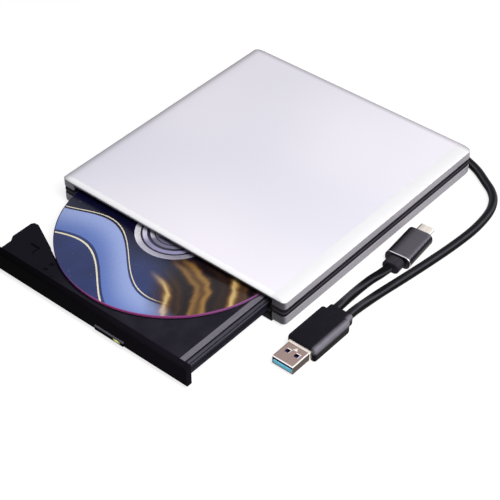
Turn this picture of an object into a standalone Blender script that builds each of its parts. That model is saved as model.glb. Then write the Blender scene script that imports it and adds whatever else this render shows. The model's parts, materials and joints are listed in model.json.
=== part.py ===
"""External slim optical drive with its disc tray half out, a disc loaded and a two-headed cord.

Metres, +Z up. The tray comes out along -Y and the cord leaves the back. The origin is on the
floor, under the middle of the drive's footprint with the tray as far out as it stands here.
"""

import math

import bmesh
import bpy
from mathutils import Matrix, Vector

# Clearances
SEAM_GAP = 0.0003
RUNNING_GAP = 0.0003
OVERSHOOT = 0.0010

# Case
CASE_POST_WIDTH = 0.0075
CASE_REAR_BAY = 0.0200
CASE_HEIGHT = 0.0174
CASE_CORNER = 0.0022
CASE_CORNER_LEAST = 0.0004
CASE_WALL = 0.0014
ROOF_THICKNESS = 0.0019
ROOF_ROLL_SIDE = 0.0085
ROOF_ROLL_FRONT = 0.0028
ROOF_ROLL_BACK = 0.0005
ROOF_ROLL_DROP = 0.0012
BASE_ROLL_WIDTH = 0.0030
BASE_ROLL_RISE = 0.0026
FOOT_STAND = 0.0008
FOOT_RADIUS = 0.0050
FOOT_SINK = 0.0005
FOOT_EDGE_X = 0.0130
FOOT_EDGE_Y = 0.0160
BAND_BOTTOM = 0.0070
BAND_HEIGHT = 0.0050
BAND_INSET = 0.0003
BAND_WALL = 0.0018
BEAD_HEIGHT = 0.0010
BEAD_PROUD = 0.0002

# Tray opening in the front of the case
OPENING_SIDE_GAP = 0.0007
OPENING_SILL_GAP = 0.0004
OPENING_HEAD_GAP = 0.0011
SILL_DEPTH = 0.0037
SILL_POST = 0.0012

# Case screws and their posts
SCREW_EDGE_X = 0.0047
SCREW_FRONT_Y = 0.0100
SCREW_BACK_ROOM = 0.0100
SCREW_POST_RADIUS = 0.0022
SCREW_POST_SPLIT = 0.0088
SCREW_SHANK_RADIUS = 0.0008
SCREW_LENGTH = 0.0115
SCREW_HEAD_RADIUS = 0.0017
SCREW_HEAD_HEIGHT = 0.0011

# Drive chassis
CHASSIS_FRONT_Y = 0.0045
CHASSIS_SHEET = 0.0006
CHASSIS_WALL_TOP = 0.0142
LID_BOTTOM = 0.0145
LID_FLANGE = 0.0026

# Slide rails and the guides that hold them
GUIDE_FRONT_Y = 0.0050
GUIDE_BACK_ROOM = 0.0160
GUIDE_DEPTH = 0.0011
GUIDE_HEIGHT = 0.0048
GUIDE_WEB = 0.0004
RAIL_SHORTER = 0.0440
RAIL_FRONT_Y = 0.0030
RAIL_MIDDLE_Z = 0.0068
RAIL_LIP_HEIGHT = 0.0014
RAIL_LIP_REACH = 0.0012
RAIL_OUTER_LIP = 0.0007
RAIL_WEB = 0.0006
RAIL_HEIGHT = 0.0042

# How far the tray stands out of the case, here and when it is shut
TRAY_OUT = 0.0580
TRAY_SHUT_PROUD = 0.0005
TRAY_BACK_ROOM = 0.0095

# Bezel, eject button and its light window
BEZEL_HEIGHT = 0.0114
BEZEL_BOTTOM = 0.0027
BEZEL_THICKNESS = 0.0034
BEZEL_CHAMFER = 0.0006
BUTTON_LEFT_X = 0.0072
BUTTON_WIDTH = 0.0184
BUTTON_BOTTOM = 0.0033
BUTTON_HEIGHT = 0.0028
BUTTON_PROUD = 0.0006
BUTTON_DEPTH = 0.0032
BUTTON_STEM_WIDTH = 0.0030
BUTTON_STEM_LENGTH = 0.0036
BUTTON_STEM_RISE = 0.00185
BUTTON_TRAVEL = 0.0008
LIGHT_LEFT = 0.0118
LIGHT_WIDTH = 0.0046
LIGHT_HEIGHT = 0.0013
LIGHT_BOTTOM = 0.0005
LIGHT_DEPTH = 0.0020

# Tray moulding, y from the bezel's front face
TRAY_SIDE_MARGIN = 0.0046
TRAY_CUTAWAY = 0.0281
TRAY_BACK_TRIM = 0.0057
TRAY_UNDERSIDE = 0.0044
DECK_TOP = 0.0112
DECK_FLOOR = 0.0014
TRAY_WALL = 0.0016
TRAY_FRONT_WALL = 0.0025
RECESS_DEPTH = 0.0012
RIM_TOP = 0.0120
RIM_INSET = 0.00205
RIM_WIDTH = 0.00305
LEDGE_INSET = 0.0007
LEDGE_TOP = 0.0104
SHOULDER_TOP = 0.0093
WING_PROUD = 0.0021
WING_NECK_PROUD = 0.0001
WING_NECK_Y = 0.0117
WING_STEP_Y = 0.0148
WING_BACK_Y = 0.0287
WING_ROOT_Y = 0.0160
WING_THICKNESS = 0.0017
WING_CORNER = 0.0018
WING_SLOT_INSET = 0.0107
WING_SLOT_Y = 0.0120
WING_SLOT_SPAN = 0.0064
WING_SLOT_DROP = 0.0052
WING_SLOT_WIDTH = 0.0013
WING_SLOT_DEPTH = 0.0011
DECK_POCKET_OFFSET = -0.0016
DECK_POCKET_Y = 0.0066
DECK_POCKET_STEP = 0.0044
DECK_POCKET_SIZE = 0.0024
DECK_POCKET_DEPTH = 0.0009
DECK_PIP_OFFSET = 0.0050
DECK_PIP_Y = 0.0071
DECK_PIP_RADIUS = 0.0011
DECK_PIP_HEIGHT = 0.0004
ARM_LENGTH = 0.0320
ARM_BLOCK = 0.0041
ARM_BLOCK_BOTTOM = 0.0046
ARM_THICKNESS = 0.0020
COVER_SHEET = 0.0006
COVER_MARGIN = 0.0015

# Disc, turntable and spindle motor, x and y on the tray
SPINDLE_X = -0.0035
SPINDLE_FRONT_ROOM = 0.0077
DISC_RADIUS = 0.0600
DISC_HOLE_RADIUS = 0.0075
DISC_THICKNESS = 0.0012
DISC_BOTTOM = 0.0108
DISC_SURROUND = 0.0012
HUB_RADIUS = 0.0071
HUB_HEIGHT = 0.0028
HUB_TOP_RADIUS = 0.0056
PAD_RADIUS = 0.0140
PAD_INNER_RADIUS = 0.0100
PAD_THICKNESS = 0.0003
TABLE_RADIUS = 0.0145
TABLE_THICKNESS = 0.0009
ROTOR_RADIUS = 0.0110
ROTOR_HEIGHT = 0.0007
SHAFT_RADIUS = 0.0015
MOTOR_RADIUS = 0.0120
MOTOR_BOTTOM = 0.0046
MOTOR_HEIGHT = 0.0025

# Traverse: the pickup runs on two rods along a slanting line from the spindle
TRAVERSE_SLANT = math.radians(-45.0)
TRAVERSE_TOP = 0.0083
TRAVERSE_SHEET = 0.0009
TRAVERSE_BACK = 0.0160
TRAVERSE_END_ROOM = 0.0025
TRAVERSE_TAB = 0.0010
TRAVERSE_TAB_BOTTOM = 0.0046
TAB_INNER = 0.0142
ROD_SPACING = 0.0250
ROD_RADIUS = 0.0009
ROD_Z = 0.0062
TRAVERSE_MARGIN = 0.0030
SCREW_OFFSET = 0.0160
LEAD_SCREW_RADIUS = 0.0007
LEAD_SCREW_Z = 0.0064
STEPPER_RADIUS = 0.0019
STEPPER_LENGTH = 0.0125
PICKUP_RADIUS_AT_REST = 0.0240
PICKUP_EDGE_ROOM = 0.0040
PICKUP_LENGTH = 0.0150
PICKUP_WIDTH = 0.0190
PICKUP_BOTTOM = 0.0046
PICKUP_TOP = 0.0082
PICKUP_EAR_LENGTH = 0.0080
PICKUP_EAR_HEIGHT = 0.0028
HOLDER_LENGTH = 0.0056
HOLDER_WIDTH = 0.0100
HOLDER_BOTTOM = 0.0088
HOLDER_HEIGHT = 0.0008
LENS_RADIUS = 0.0019
LENS_CROWN = 0.0004

# Eject latch under the tray's left arm and the post that it catches
LATCH_SIDE_ROOM = 0.0035
LATCH_BACK_ROOM = 0.0260
LATCH_PIN_RADIUS = 0.0011
LATCH_EYE_RADIUS = 0.0024
LATCH_ARM_LENGTH = 0.0110
LATCH_ARM_WIDTH = 0.0024
LATCH_NOSE = 0.0022
LATCH_NOSE_LENGTH = 0.0022
LATCH_BOTTOM = 0.0056
LATCH_THICKNESS = 0.0018
LATCH_POST_ASIDE = 0.0050
LATCH_POST_BEHIND = 0.0060
LATCH_POST_RADIUS = 0.0010
LATCH_POST_TOP = 0.0074

# Circuit boards and connectors
BOARD_THICKNESS = 0.0012
MAIN_BOARD_SHOE_ROOM = 0.0010
MAIN_BOARD_POST_ROOM = 0.0020
MAIN_BOARD_FRONT_Y = 0.0200
MAIN_BOARD_BACK_ROOM = 0.0080
MAIN_CHIP_SIZE = 0.0080
CHIP_HEIGHT = 0.0009
FRONT_BOARD_SWITCH_ROOM = 0.0005
FRONT_BOARD_WIDTH = 0.0200
FRONT_BOARD_LENGTH = 0.0090
SWITCH_WIDTH = 0.0060
SWITCH_LENGTH = 0.0035
SWITCH_HEIGHT = 0.0026
BRIDGE_SIDE_ROOM = 0.0083
BRIDGE_GLAND_ROOM = 0.0066
BRIDGE_SPARE = 0.0060
BRIDGE_BOTTOM = 0.0050
BRIDGE_POST_RADIUS = 0.0025
BRIDGE_POST_INSET = 0.0050
BRIDGE_CHIP_SIZE = 0.0070
PLUG_SIDE_ROOM = 0.0123
PLUG_WIDTH = 0.0300
PLUG_HEIGHT = 0.0040
PLUG_LENGTH = 0.0055
SOCKET_LENGTH = 0.0060

# Cord, gland and plugs, from the back right corner of the case
CORD_RADIUS = 0.0023
CORD_STEP = 0.0028
GLAND_X = -0.0239
GLAND_Z = 0.0062
GLAND_NECK_RADIUS = 0.0027
GLAND_FLANGE_RADIUS = 0.0036
GLAND_FLANGE = 0.0012
GLAND_PROUD = 0.0008
PLUG_A_X = 0.0163
PLUG_A_FRONT_Y = -0.1590
PLUG_A_BODY_WIDTH = 0.0166
PLUG_A_BODY_LENGTH = 0.0262
PLUG_A_BODY_HEIGHT = 0.0084
PLUG_A_BODY_EDGE = 0.0014
PLUG_A_NECK_WIDTH = 0.0132
PLUG_A_NECK_LENGTH = 0.0045
PLUG_A_NECK_HEIGHT = 0.0066
PLUG_A_SHELL_WIDTH = 0.0120
PLUG_A_SHELL_HEIGHT = 0.0045
PLUG_A_SHELL_LENGTH = 0.0130
PLUG_A_SHELL_WALL = 0.00035
PLUG_A_HOLE = 0.0022
PLUG_A_HOLE_SPACING = 0.0052
PLUG_A_HOLE_BACK = 0.0060
PLUG_A_TONGUE_HEIGHT = 0.0018
PLUG_A_TONGUE_RECESS = 0.0003
PLUG_C_X = 0.0132
PLUG_C_Y = -0.0815
PLUG_C_TURN = math.radians(5.5)
PLUG_C_BODY_WIDTH = 0.0138
PLUG_C_BODY_LENGTH = 0.0228
PLUG_C_BODY_HEIGHT = 0.0068
PLUG_C_BODY_EDGE = 0.0028
PLUG_C_COLLAR_WIDTH = 0.0092
PLUG_C_COLLAR_LENGTH = 0.0062
PLUG_C_COLLAR_HEIGHT = 0.0060
PLUG_C_SHELL_WIDTH = 0.0083
PLUG_C_SHELL_HEIGHT = 0.0026
PLUG_C_SHELL_LENGTH = 0.0066
PLUG_C_SHELL_WALL = 0.0003
PLUG_C_TONGUE_WIDTH = 0.0065
PLUG_C_TONGUE_HEIGHT = 0.0007

# Routes of the two cords over the floor, from the same corner
MAIN_CORD_ROUTE = (
    (-0.0239, 0.0012, 0.0062),
    (-0.0238, 0.0032, 0.0060),
    (-0.0227, 0.0059, 0.0051),
    (-0.0206, 0.0080, 0.0039),
    (-0.0180, 0.0092, 0.0029),
    (-0.0153, 0.0094, 0.0024),
    (-0.0125, 0.0089, 0.0024),
    (-0.0050, 0.0062, 0.0024),
    (0.0027, 0.0031, 0.0024),
    (0.0111, -0.0021, 0.0024),
    (0.0180, -0.0068, 0.0024),
    (0.0232, -0.0130, 0.0024),
    (0.0267, -0.0225, 0.0024),
    (0.0281, -0.0370, 0.0024),
    (0.0272, -0.0540, 0.0024),
    (0.0251, -0.0720, 0.0024),
    (0.0226, -0.0895, 0.0024),
    (0.0205, -0.1040, 0.0026),
    (0.0196, -0.1150, 0.0032),
    (0.0194, -0.1230, 0.0040),
    (0.0194, -0.1280, 0.0042),
)
SHORT_CORD_ROUTE = (
    (0.0121, -0.1280, 0.0042),
    (0.0120, -0.1240, 0.0040),
    (0.0113, -0.1160, 0.0031),
    (0.0110, -0.1080, 0.0026),
    (0.0114, -0.1000, 0.0026),
    (0.0126, -0.0940, 0.0030),
    (0.01346, -0.0882, 0.0034),
)

# Facets
CORNER_STEPS = 6
ROLL_STEPS = 6
ROUND_STEPS = 24
SMALL_ROUND_STEPS = 14
DISC_STEPS = 72
CORD_RING_STEPS = 2
SMOOTH_ANGLE = math.radians(32.0)

# Tray and disc, worked out from the sizes above
SPINDLE_Y = DISC_RADIUS + SPINDLE_FRONT_ROOM
TRAY_RIGHT_X = SPINDLE_X + DISC_RADIUS + TRAY_SIDE_MARGIN
TRAY_LEFT_X = TRAY_CUTAWAY - TRAY_RIGHT_X
TRAY_LENGTH = SPINDLE_Y + DISC_RADIUS - TRAY_BACK_TRIM
TRAY_FRONT_Y = BEZEL_THICKNESS + SEAM_GAP
RIM_OUTER_X = TRAY_RIGHT_X - RIM_INSET
RIM_INNER_X = RIM_OUTER_X - RIM_WIDTH
LEDGE_X = TRAY_RIGHT_X - LEDGE_INSET
WING_LEFT_X = -TRAY_RIGHT_X - WING_PROUD
WING_NECK_X = -TRAY_RIGHT_X - WING_NECK_PROUD
WING_SLOT_X = WING_LEFT_X + WING_SLOT_INSET
DECK_POCKET_X = TRAY_LEFT_X + DECK_POCKET_OFFSET
DECK_PIP_X = TRAY_LEFT_X + DECK_PIP_OFFSET
RECESS_FLOOR = DECK_TOP - RECESS_DEPTH
DECK_UNDERSIDE = RECESS_FLOOR - DECK_FLOOR
TABLE_TOP = DISC_BOTTOM - PAD_THICKNESS - 2 * SEAM_GAP
ROD_OFFSET = ROD_SPACING / 2
PICKUP_TRAVEL = DISC_RADIUS - PICKUP_EDGE_ROOM - PICKUP_RADIUS_AT_REST
TRAVERSE_REACH = PICKUP_RADIUS_AT_REST + PICKUP_TRAVEL + PICKUP_LENGTH / 2 + TRAVERSE_END_ROOM
SWITCH_RIGHT_X = BUTTON_LEFT_X + BUTTON_WIDTH / 2 + SWITCH_WIDTH / 2
FRONT_BOARD_LEFT_X = SWITCH_RIGHT_X + FRONT_BOARD_SWITCH_ROOM - FRONT_BOARD_WIDTH
LATCH_X = TRAY_LEFT_X - LATCH_SIDE_ROOM
LATCH_Y = TRAY_LENGTH - LATCH_BACK_ROOM

# Chassis and rails, worked out from the tray
RAIL_INNER_X = TRAY_RIGHT_X + RUNNING_GAP
RAIL_WEB_X = RAIL_INNER_X + RAIL_WEB
RAIL_LENGTH = TRAY_LENGTH - RAIL_SHORTER
GUIDE_INNER_X = RAIL_WEB_X + RUNNING_GAP
GUIDE_OUTER_X = GUIDE_INNER_X + GUIDE_DEPTH
CHASSIS_INNER_X = GUIDE_OUTER_X + SEAM_GAP
CHASSIS_HALF = CHASSIS_INNER_X + CHASSIS_SHEET
CHASSIS_BACK_Y = TRAY_LENGTH - TRAY_SHUT_PROUD + TRAY_BACK_ROOM
CHASSIS_LENGTH = CHASSIS_BACK_Y - CHASSIS_FRONT_Y
GUIDE_LENGTH = CHASSIS_BACK_Y - GUIDE_BACK_ROOM - GUIDE_FRONT_Y
LATCH_POST_X = LATCH_X - LATCH_POST_ASIDE
LATCH_POST_Y = LATCH_Y + LATCH_POST_BEHIND
MAIN_BOARD_LEFT_X = ARM_BLOCK + MAIN_BOARD_SHOE_ROOM - TRAY_RIGHT_X
MAIN_BOARD_WIDTH = LATCH_POST_X - LATCH_POST_RADIUS - MAIN_BOARD_POST_ROOM - MAIN_BOARD_LEFT_X
MAIN_BOARD_LENGTH = CHASSIS_BACK_Y - MAIN_BOARD_BACK_ROOM - MAIN_BOARD_FRONT_Y
PLUG_LEFT_X = PLUG_SIDE_ROOM - CHASSIS_HALF

# Case, worked out from the chassis and bezel
BEZEL_WIDTH = 2 * CHASSIS_HALF
OPENING_HALF = BEZEL_WIDTH / 2 + OPENING_SIDE_GAP
OPENING_BOTTOM = BEZEL_BOTTOM - OPENING_SILL_GAP
OPENING_TOP = BEZEL_BOTTOM + BEZEL_HEIGHT + OPENING_HEAD_GAP
HALF_WIDTH = OPENING_HALF + CASE_POST_WIDTH
CASE_DEPTH = CHASSIS_BACK_Y + CASE_REAR_BAY
CASE_FRONT_Y = (TRAY_OUT + BUTTON_PROUD - CASE_DEPTH) / 2
SCREW_BACK_Y = CASE_DEPTH - SCREW_BACK_ROOM
BAND_TOP = BAND_BOTTOM + BAND_HEIGHT
FLOOR_TOP = FOOT_STAND + CASE_WALL
CHASSIS_BOTTOM = FLOOR_TOP + SEAM_GAP
CHASSIS_FLOOR_TOP = CHASSIS_BOTTOM + CHASSIS_SHEET
BRIDGE_LEFT_X = BRIDGE_SIDE_ROOM - CHASSIS_HALF
BRIDGE_WIDTH = HALF_WIDTH + GLAND_X - BRIDGE_GLAND_ROOM - BRIDGE_LEFT_X
BRIDGE_LENGTH = CASE_REAR_BAY - BRIDGE_SPARE
PLUG_A_AXIS_Z = PLUG_A_BODY_HEIGHT / 2
PLUG_C_AXIS_Z = PLUG_C_BODY_HEIGHT / 2


# Modelling helpers

def clear_scene():
    """Remove every object from the scene."""
    for old in list(bpy.data.objects):
        bpy.data.objects.remove(old)


def finish(name, colour, roughness, metallic):
    """Return a plain material."""
    material = bpy.data.materials.new(name)
    material.use_nodes = True
    shader = material.node_tree.nodes["Principled BSDF"]
    shader.inputs["Base Color"].default_value = (*colour, 1.0)
    shader.inputs["Roughness"].default_value = roughness
    shader.inputs["Metallic"].default_value = metallic
    material.diffuse_color = (*colour, 1.0)
    return material


def frame_empty(name, place, turn=0.0, parent=None):
    """Return an empty that carries a sub-assembly."""
    empty = bpy.data.objects.new(name, None)
    bpy.context.collection.objects.link(empty)
    empty.location = place
    empty.rotation_euler = (0.0, 0.0, turn)
    empty.parent = parent
    return empty


def piece(name, solid, material, parent, place=(0.0, 0.0, 0.0)):
    """Make one named object out of a bmesh, with its origin at place on its parent."""
    mesh = bpy.data.meshes.new(name)
    bmesh.ops.translate(solid, verts=solid.verts, vec=-Vector(place))
    solid.to_mesh(mesh)
    solid.free()
    mesh.shade_smooth()
    mesh.set_sharp_from_angle(angle=SMOOTH_ANGLE)
    mesh.materials.append(material)
    made = bpy.data.objects.new(name, mesh)
    bpy.context.collection.objects.link(made)
    made.parent = parent
    made.location = place
    return made


def block(low, high):
    """Return a box between two corners."""
    low = Vector(low)
    high = Vector(high)
    solid = bmesh.new()
    place = Matrix.Translation((low + high) / 2) @ Matrix.Diagonal((*(high - low), 1.0))
    bmesh.ops.create_cube(solid, size=1.0, matrix=place)
    return solid


def soft_block(low, high, edge, steps=2):
    """Return a box with its edges rounded."""
    solid = block(low, high)
    bmesh.ops.bevel(
        solid, geom=solid.edges[:], offset=edge, segments=steps, profile=0.5, affect="EDGES",
        material=-1)
    return solid


def rod(start, end, radius, steps=ROUND_STEPS, end_radius=None):
    """Return a round bar, or a cone, between two points."""
    start = Vector(start)
    end = Vector(end)
    turn = (end - start).to_track_quat("Z", "Y").to_matrix().to_4x4()
    solid = bmesh.new()
    bmesh.ops.create_cone(
        solid, cap_ends=True, segments=steps, radius1=radius,
        radius2=radius if end_radius is None else end_radius, depth=(end - start).length,
        matrix=Matrix.Translation((start + end) / 2) @ turn)
    return solid


def swept(outline, sweep):
    """Return a flat outline swept along a vector into a solid."""
    solid = bmesh.new()
    near = [solid.verts.new(point) for point in outline]
    far = [solid.verts.new(Vector(point) + Vector(sweep)) for point in outline]
    solid.faces.new(near)
    solid.faces.new(far)
    for index, first in enumerate(near):
        following = (index + 1) % len(near)
        solid.faces.new((first, near[following], far[following], far[index]))
    bmesh.ops.recalc_face_normals(solid, faces=solid.faces)
    return solid


def turned(profile, steps=ROUND_STEPS):
    """Return a closed profile of radius and height spun round Z."""
    solid = bmesh.new()
    points = [solid.verts.new((radius, 0.0, height)) for radius, height in profile]
    edges = [solid.edges.new(pair) for pair in zip(points, points[1:] + points[:1])]
    bmesh.ops.spin(
        solid, geom=points + edges, axis=(0.0, 0.0, 1.0), cent=(0.0, 0.0, 0.0),
        angle=math.tau, steps=steps, use_merge=True)
    bmesh.ops.remove_doubles(solid, verts=solid.verts, dist=1e-7)
    bmesh.ops.dissolve_degenerate(solid, edges=solid.edges, dist=1e-7)
    bmesh.ops.recalc_face_normals(solid, faces=solid.faces)
    return solid


def lofted(rings, closed=False):
    """Return a solid through rings of equal point counts, capped or joined end to end."""
    solid = bmesh.new()
    loops = [[solid.verts.new(point) for point in ring] for ring in rings]
    pairs = list(zip(loops, loops[1:]))
    if closed:
        pairs.append((loops[-1], loops[0]))
    else:
        solid.faces.new(loops[0])
        solid.faces.new(loops[-1])
    for lower, upper in pairs:
        for index, point in enumerate(lower):
            following = (index + 1) % len(lower)
            solid.faces.new((point, lower[following], upper[following], upper[index]))
    bmesh.ops.recalc_face_normals(solid, faces=solid.faces)
    return solid


def round_rectangle(half_x, half_y, corner, height, middle=(0.0, 0.0), steps=CORNER_STEPS):
    """Return the points of a rectangle with round corners, at one height."""
    points = []
    for quarter, (side_x, side_y) in enumerate(((1, 1), (-1, 1), (-1, -1), (1, -1))):
        for step in range(steps + 1):
            angle = math.pi / 2 * (quarter + step / steps)
            points.append((
                middle[0] + side_x * (half_x - corner) + corner * math.cos(angle),
                middle[1] + side_y * (half_y - corner) + corner * math.sin(angle),
                height))
    return points


def case_ring(inset, height):
    """Return the case's plan outline, drawn in by an inset, at one height."""
    return round_rectangle(
        HALF_WIDTH - inset, CASE_DEPTH / 2 - inset, max(CASE_CORNER - inset, CASE_CORNER_LEAST), height,
        middle=(0.0, CASE_DEPTH / 2))


def base_ring(inset, height):
    """Return the lower shell's outline part way down its rolled edge, rounder at the corners."""
    return round_rectangle(
        HALF_WIDTH - inset, CASE_DEPTH / 2 - inset, CASE_CORNER + inset / 2, height,
        middle=(0.0, CASE_DEPTH / 2))


def roof_ring(share, height):
    """Return the lid's outline part way up its rolled edge, which is widest at the sides."""
    front = ROOF_ROLL_FRONT * share
    back = ROOF_ROLL_BACK * share
    return round_rectangle(
        HALF_WIDTH - ROOF_ROLL_SIDE * share, (CASE_DEPTH - front - back) / 2,
        CASE_CORNER * (1 - share / 2), height,
        middle=(0.0, (CASE_DEPTH + front - back) / 2))


def combined(base, tool, operation):
    """Return base joined with a tool, or cut by it, and use both up."""
    holders = []
    for solid in (base, tool):
        mesh = bpy.data.meshes.new("working")
        solid.to_mesh(mesh)
        solid.free()
        holder = bpy.data.objects.new("working", mesh)
        bpy.context.collection.objects.link(holder)
        holders.append(holder)
    change = holders[0].modifiers.new("change", "BOOLEAN")
    change.operation = operation
    change.solver = "EXACT"
    change.object = holders[1]
    settled = holders[0].evaluated_get(bpy.context.evaluated_depsgraph_get())
    result = bmesh.new()
    result.from_mesh(settled.to_mesh())
    settled.to_mesh_clear()
    for holder in holders:
        mesh = holder.data
        bpy.data.objects.remove(holder)
        bpy.data.meshes.remove(mesh)
    return result


def joined(base, *tools):
    """Return the union of solids."""
    for tool in tools:
        base = combined(base, tool, "UNION")
    return base


def cut(base, *tools):
    """Return base with each tool taken away."""
    for tool in tools:
        base = combined(base, tool, "DIFFERENCE")
    return base


# Case

def screw_places():
    """Return the plan positions of the four case screws."""
    edge = HALF_WIDTH - SCREW_EDGE_X
    return [(side * edge, y) for y in (SCREW_FRONT_Y, SCREW_BACK_Y) for side in (-1, 1)]


def foot_places():
    """Return the plan positions of the four feet."""
    edge = HALF_WIDTH - FOOT_EDGE_X
    rows = (FOOT_EDGE_Y, CASE_DEPTH - FOOT_EDGE_Y)
    return [(side * edge, y) for y in rows for side in (-1, 1)]


def roll(width, rise):
    """Return inset and rise pairs of a quarter-ellipse edge, from the wall to the flat.

    A width of 1 gives each inset as a share of a roll that isn't equally wide all round.
    """
    pairs = []
    for step in range(ROLL_STEPS + 1):
        angle = math.pi / 2 * step / ROLL_STEPS
        pairs.append((width * (1 - math.cos(angle)), rise * math.sin(angle)))
    return pairs


def gland_bore(radius):
    """Return the round cutter that opens the back wall for the cord's gland."""
    x = HALF_WIDTH + GLAND_X
    start = (x, CASE_DEPTH - CASE_WALL - BAND_WALL - OVERSHOOT, GLAND_Z)
    end = (x, CASE_DEPTH + OVERSHOOT, GLAND_Z)
    return rod(start, end, radius)


def top_cover():
    """Return the silver upper shell with its four screw posts."""
    ceiling = CASE_HEIGHT - ROOF_THICKNESS
    rings = [case_ring(CASE_WALL, ceiling), case_ring(CASE_WALL, BAND_TOP)]
    rings.append(case_ring(0.0, BAND_TOP))
    shoulder = CASE_HEIGHT - ROOF_ROLL_DROP
    rings += [roof_ring(share, shoulder + rise) for share, rise in roll(1.0, ROOF_ROLL_DROP)]
    shell = lofted(rings)
    mouth = block(
        (-OPENING_HALF, -OVERSHOOT, BAND_TOP - OVERSHOOT),
        (OPENING_HALF, CASE_WALL + OVERSHOOT, OPENING_TOP))
    shell = cut(shell, mouth)
    tip = FOOT_STAND + SCREW_HEAD_HEIGHT + SCREW_LENGTH
    for x, y in screw_places():
        low = SCREW_POST_SPLIT + SEAM_GAP
        shell = joined(shell, rod((x, y, low), (x, y, ceiling + ROOF_THICKNESS / 2), SCREW_POST_RADIUS))
        bore = SCREW_SHANK_RADIUS + SEAM_GAP
        shell = cut(shell, rod((x, y, low - OVERSHOOT), (x, y, tip + SEAM_GAP), bore, SMALL_ROUND_STEPS))
    return shell


def bottom_cover():
    """Return the silver lower shell with screw posts, board posts and foot recesses."""
    edge = roll(BASE_ROLL_WIDTH, BASE_ROLL_RISE)
    shoulder = FOOT_STAND + BASE_ROLL_RISE
    rings = [case_ring(CASE_WALL, FLOOR_TOP), case_ring(CASE_WALL, BAND_BOTTOM)]
    rings.append(case_ring(0.0, BAND_BOTTOM))
    rings += [base_ring(inset, shoulder - fall) for inset, fall in edge]
    shell = lofted(rings)
    mouth = block(
        (-OPENING_HALF, -OVERSHOOT, FOOT_STAND - OVERSHOOT),
        (OPENING_HALF, CASE_WALL + SEAM_GAP, BAND_BOTTOM + OVERSHOOT))
    sill_bed = OPENING_HALF + SILL_POST + SEAM_GAP
    floor_slot = block(
        (-sill_bed, CASE_WALL, FOOT_STAND - OVERSHOOT),
        (sill_bed, SILL_DEPTH + SEAM_GAP, BAND_BOTTOM + OVERSHOOT))
    shell = cut(shell, mouth, floor_slot)
    for x, y in screw_places():
        post = rod((x, y, FLOOR_TOP - CASE_WALL / 2), (x, y, SCREW_POST_SPLIT), SCREW_POST_RADIUS)
        shell = joined(shell, post)
        bore = SCREW_SHANK_RADIUS + SEAM_GAP
        shell = cut(
            shell,
            rod((x, y, 0.0), (x, y, SCREW_POST_SPLIT + OVERSHOOT), bore, SMALL_ROUND_STEPS),
            rod((x, y, 0.0), (x, y, FOOT_STAND + SCREW_HEAD_HEIGHT + SEAM_GAP),
                SCREW_HEAD_RADIUS + SEAM_GAP, SMALL_ROUND_STEPS))
    for x, y in foot_places():
        seat = FOOT_STAND + FOOT_SINK + SEAM_GAP
        shell = cut(shell, rod((x, y, 0.0), (x, y, seat), FOOT_RADIUS + SEAM_GAP))
    for x, y in bridge_post_places():
        post = rod(
            (x, y, FLOOR_TOP - CASE_WALL / 2), (x, y, BRIDGE_BOTTOM - SEAM_GAP),
            BRIDGE_POST_RADIUS, SMALL_ROUND_STEPS)
        shell = joined(shell, post)
    return cut(shell, gland_bore(GLAND_NECK_RADIUS + SEAM_GAP))


def mid_frame():
    """Return the black band between the shells, with the sill under the tray opening."""
    low = BAND_BOTTOM + SEAM_GAP
    high = BAND_TOP - SEAM_GAP
    middle = (low + high) / 2
    bead = BAND_INSET - BEAD_PROUD
    inner = BAND_INSET + BAND_WALL
    profile = (
        (inner, low), (BAND_INSET, low), (BAND_INSET, middle - BEAD_HEIGHT),
        (bead, middle - BEAD_HEIGHT / 2), (bead, middle + BEAD_HEIGHT / 2),
        (BAND_INSET, middle + BEAD_HEIGHT), (BAND_INSET, high), (inner, high))
    band = lofted([case_ring(inset, height) for inset, height in profile], closed=True)
    band = cut(band, block(
        (-OPENING_HALF, -OVERSHOOT, low - OVERSHOOT),
        (OPENING_HALF, inner + OVERSHOOT, high + OVERSHOOT)))
    sill_bottom = FOOT_STAND + SEAM_GAP / 2
    post_back = SILL_DEPTH
    post_front = CASE_WALL + SEAM_GAP
    outer = OPENING_HALF + SILL_POST
    sill_front = BAND_INSET / 2
    sill = block((-outer, post_front, sill_bottom), (outer, post_back, OPENING_BOTTOM))
    lip = block((-OPENING_HALF + SEAM_GAP, sill_front, sill_bottom),
                (OPENING_HALF - SEAM_GAP, post_front + OVERSHOOT, OPENING_BOTTOM))
    band = joined(band, block((OPENING_HALF, post_front, sill_bottom), (outer, post_back, middle)))
    band = joined(band, block((-outer, post_front, sill_bottom), (-OPENING_HALF, post_back, middle)))
    band = joined(band, joined(sill, lip))
    return cut(band, gland_bore(GLAND_NECK_RADIUS + SEAM_GAP))


def case_screw(x, y):
    """Return one countersunk case screw."""
    head = FOOT_STAND + SEAM_GAP
    neck = head + SCREW_HEAD_HEIGHT - SEAM_GAP
    tip = FOOT_STAND + SCREW_HEAD_HEIGHT + SCREW_LENGTH
    profile = (
        (0.0, head), (SCREW_HEAD_RADIUS, head), (SCREW_HEAD_RADIUS, neck), (SCREW_SHANK_RADIUS, neck),
        (SCREW_SHANK_RADIUS, tip), (0.0, tip))
    screw = turned(profile, SMALL_ROUND_STEPS)
    bmesh.ops.translate(screw, verts=screw.verts, vec=(x, y, 0.0))
    return screw


def rubber_foot(x, y):
    """Return one round foot with a soft lower edge."""
    top = FOOT_STAND + FOOT_SINK
    edge = FOOT_STAND / 2
    profile = ((0.0, 0.0), (FOOT_RADIUS - edge, 0.0), (FOOT_RADIUS, edge), (FOOT_RADIUS, top), (0.0, top))
    foot = turned(profile)
    bmesh.ops.translate(foot, verts=foot.verts, vec=(x, y, 0.0))
    return foot


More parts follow.
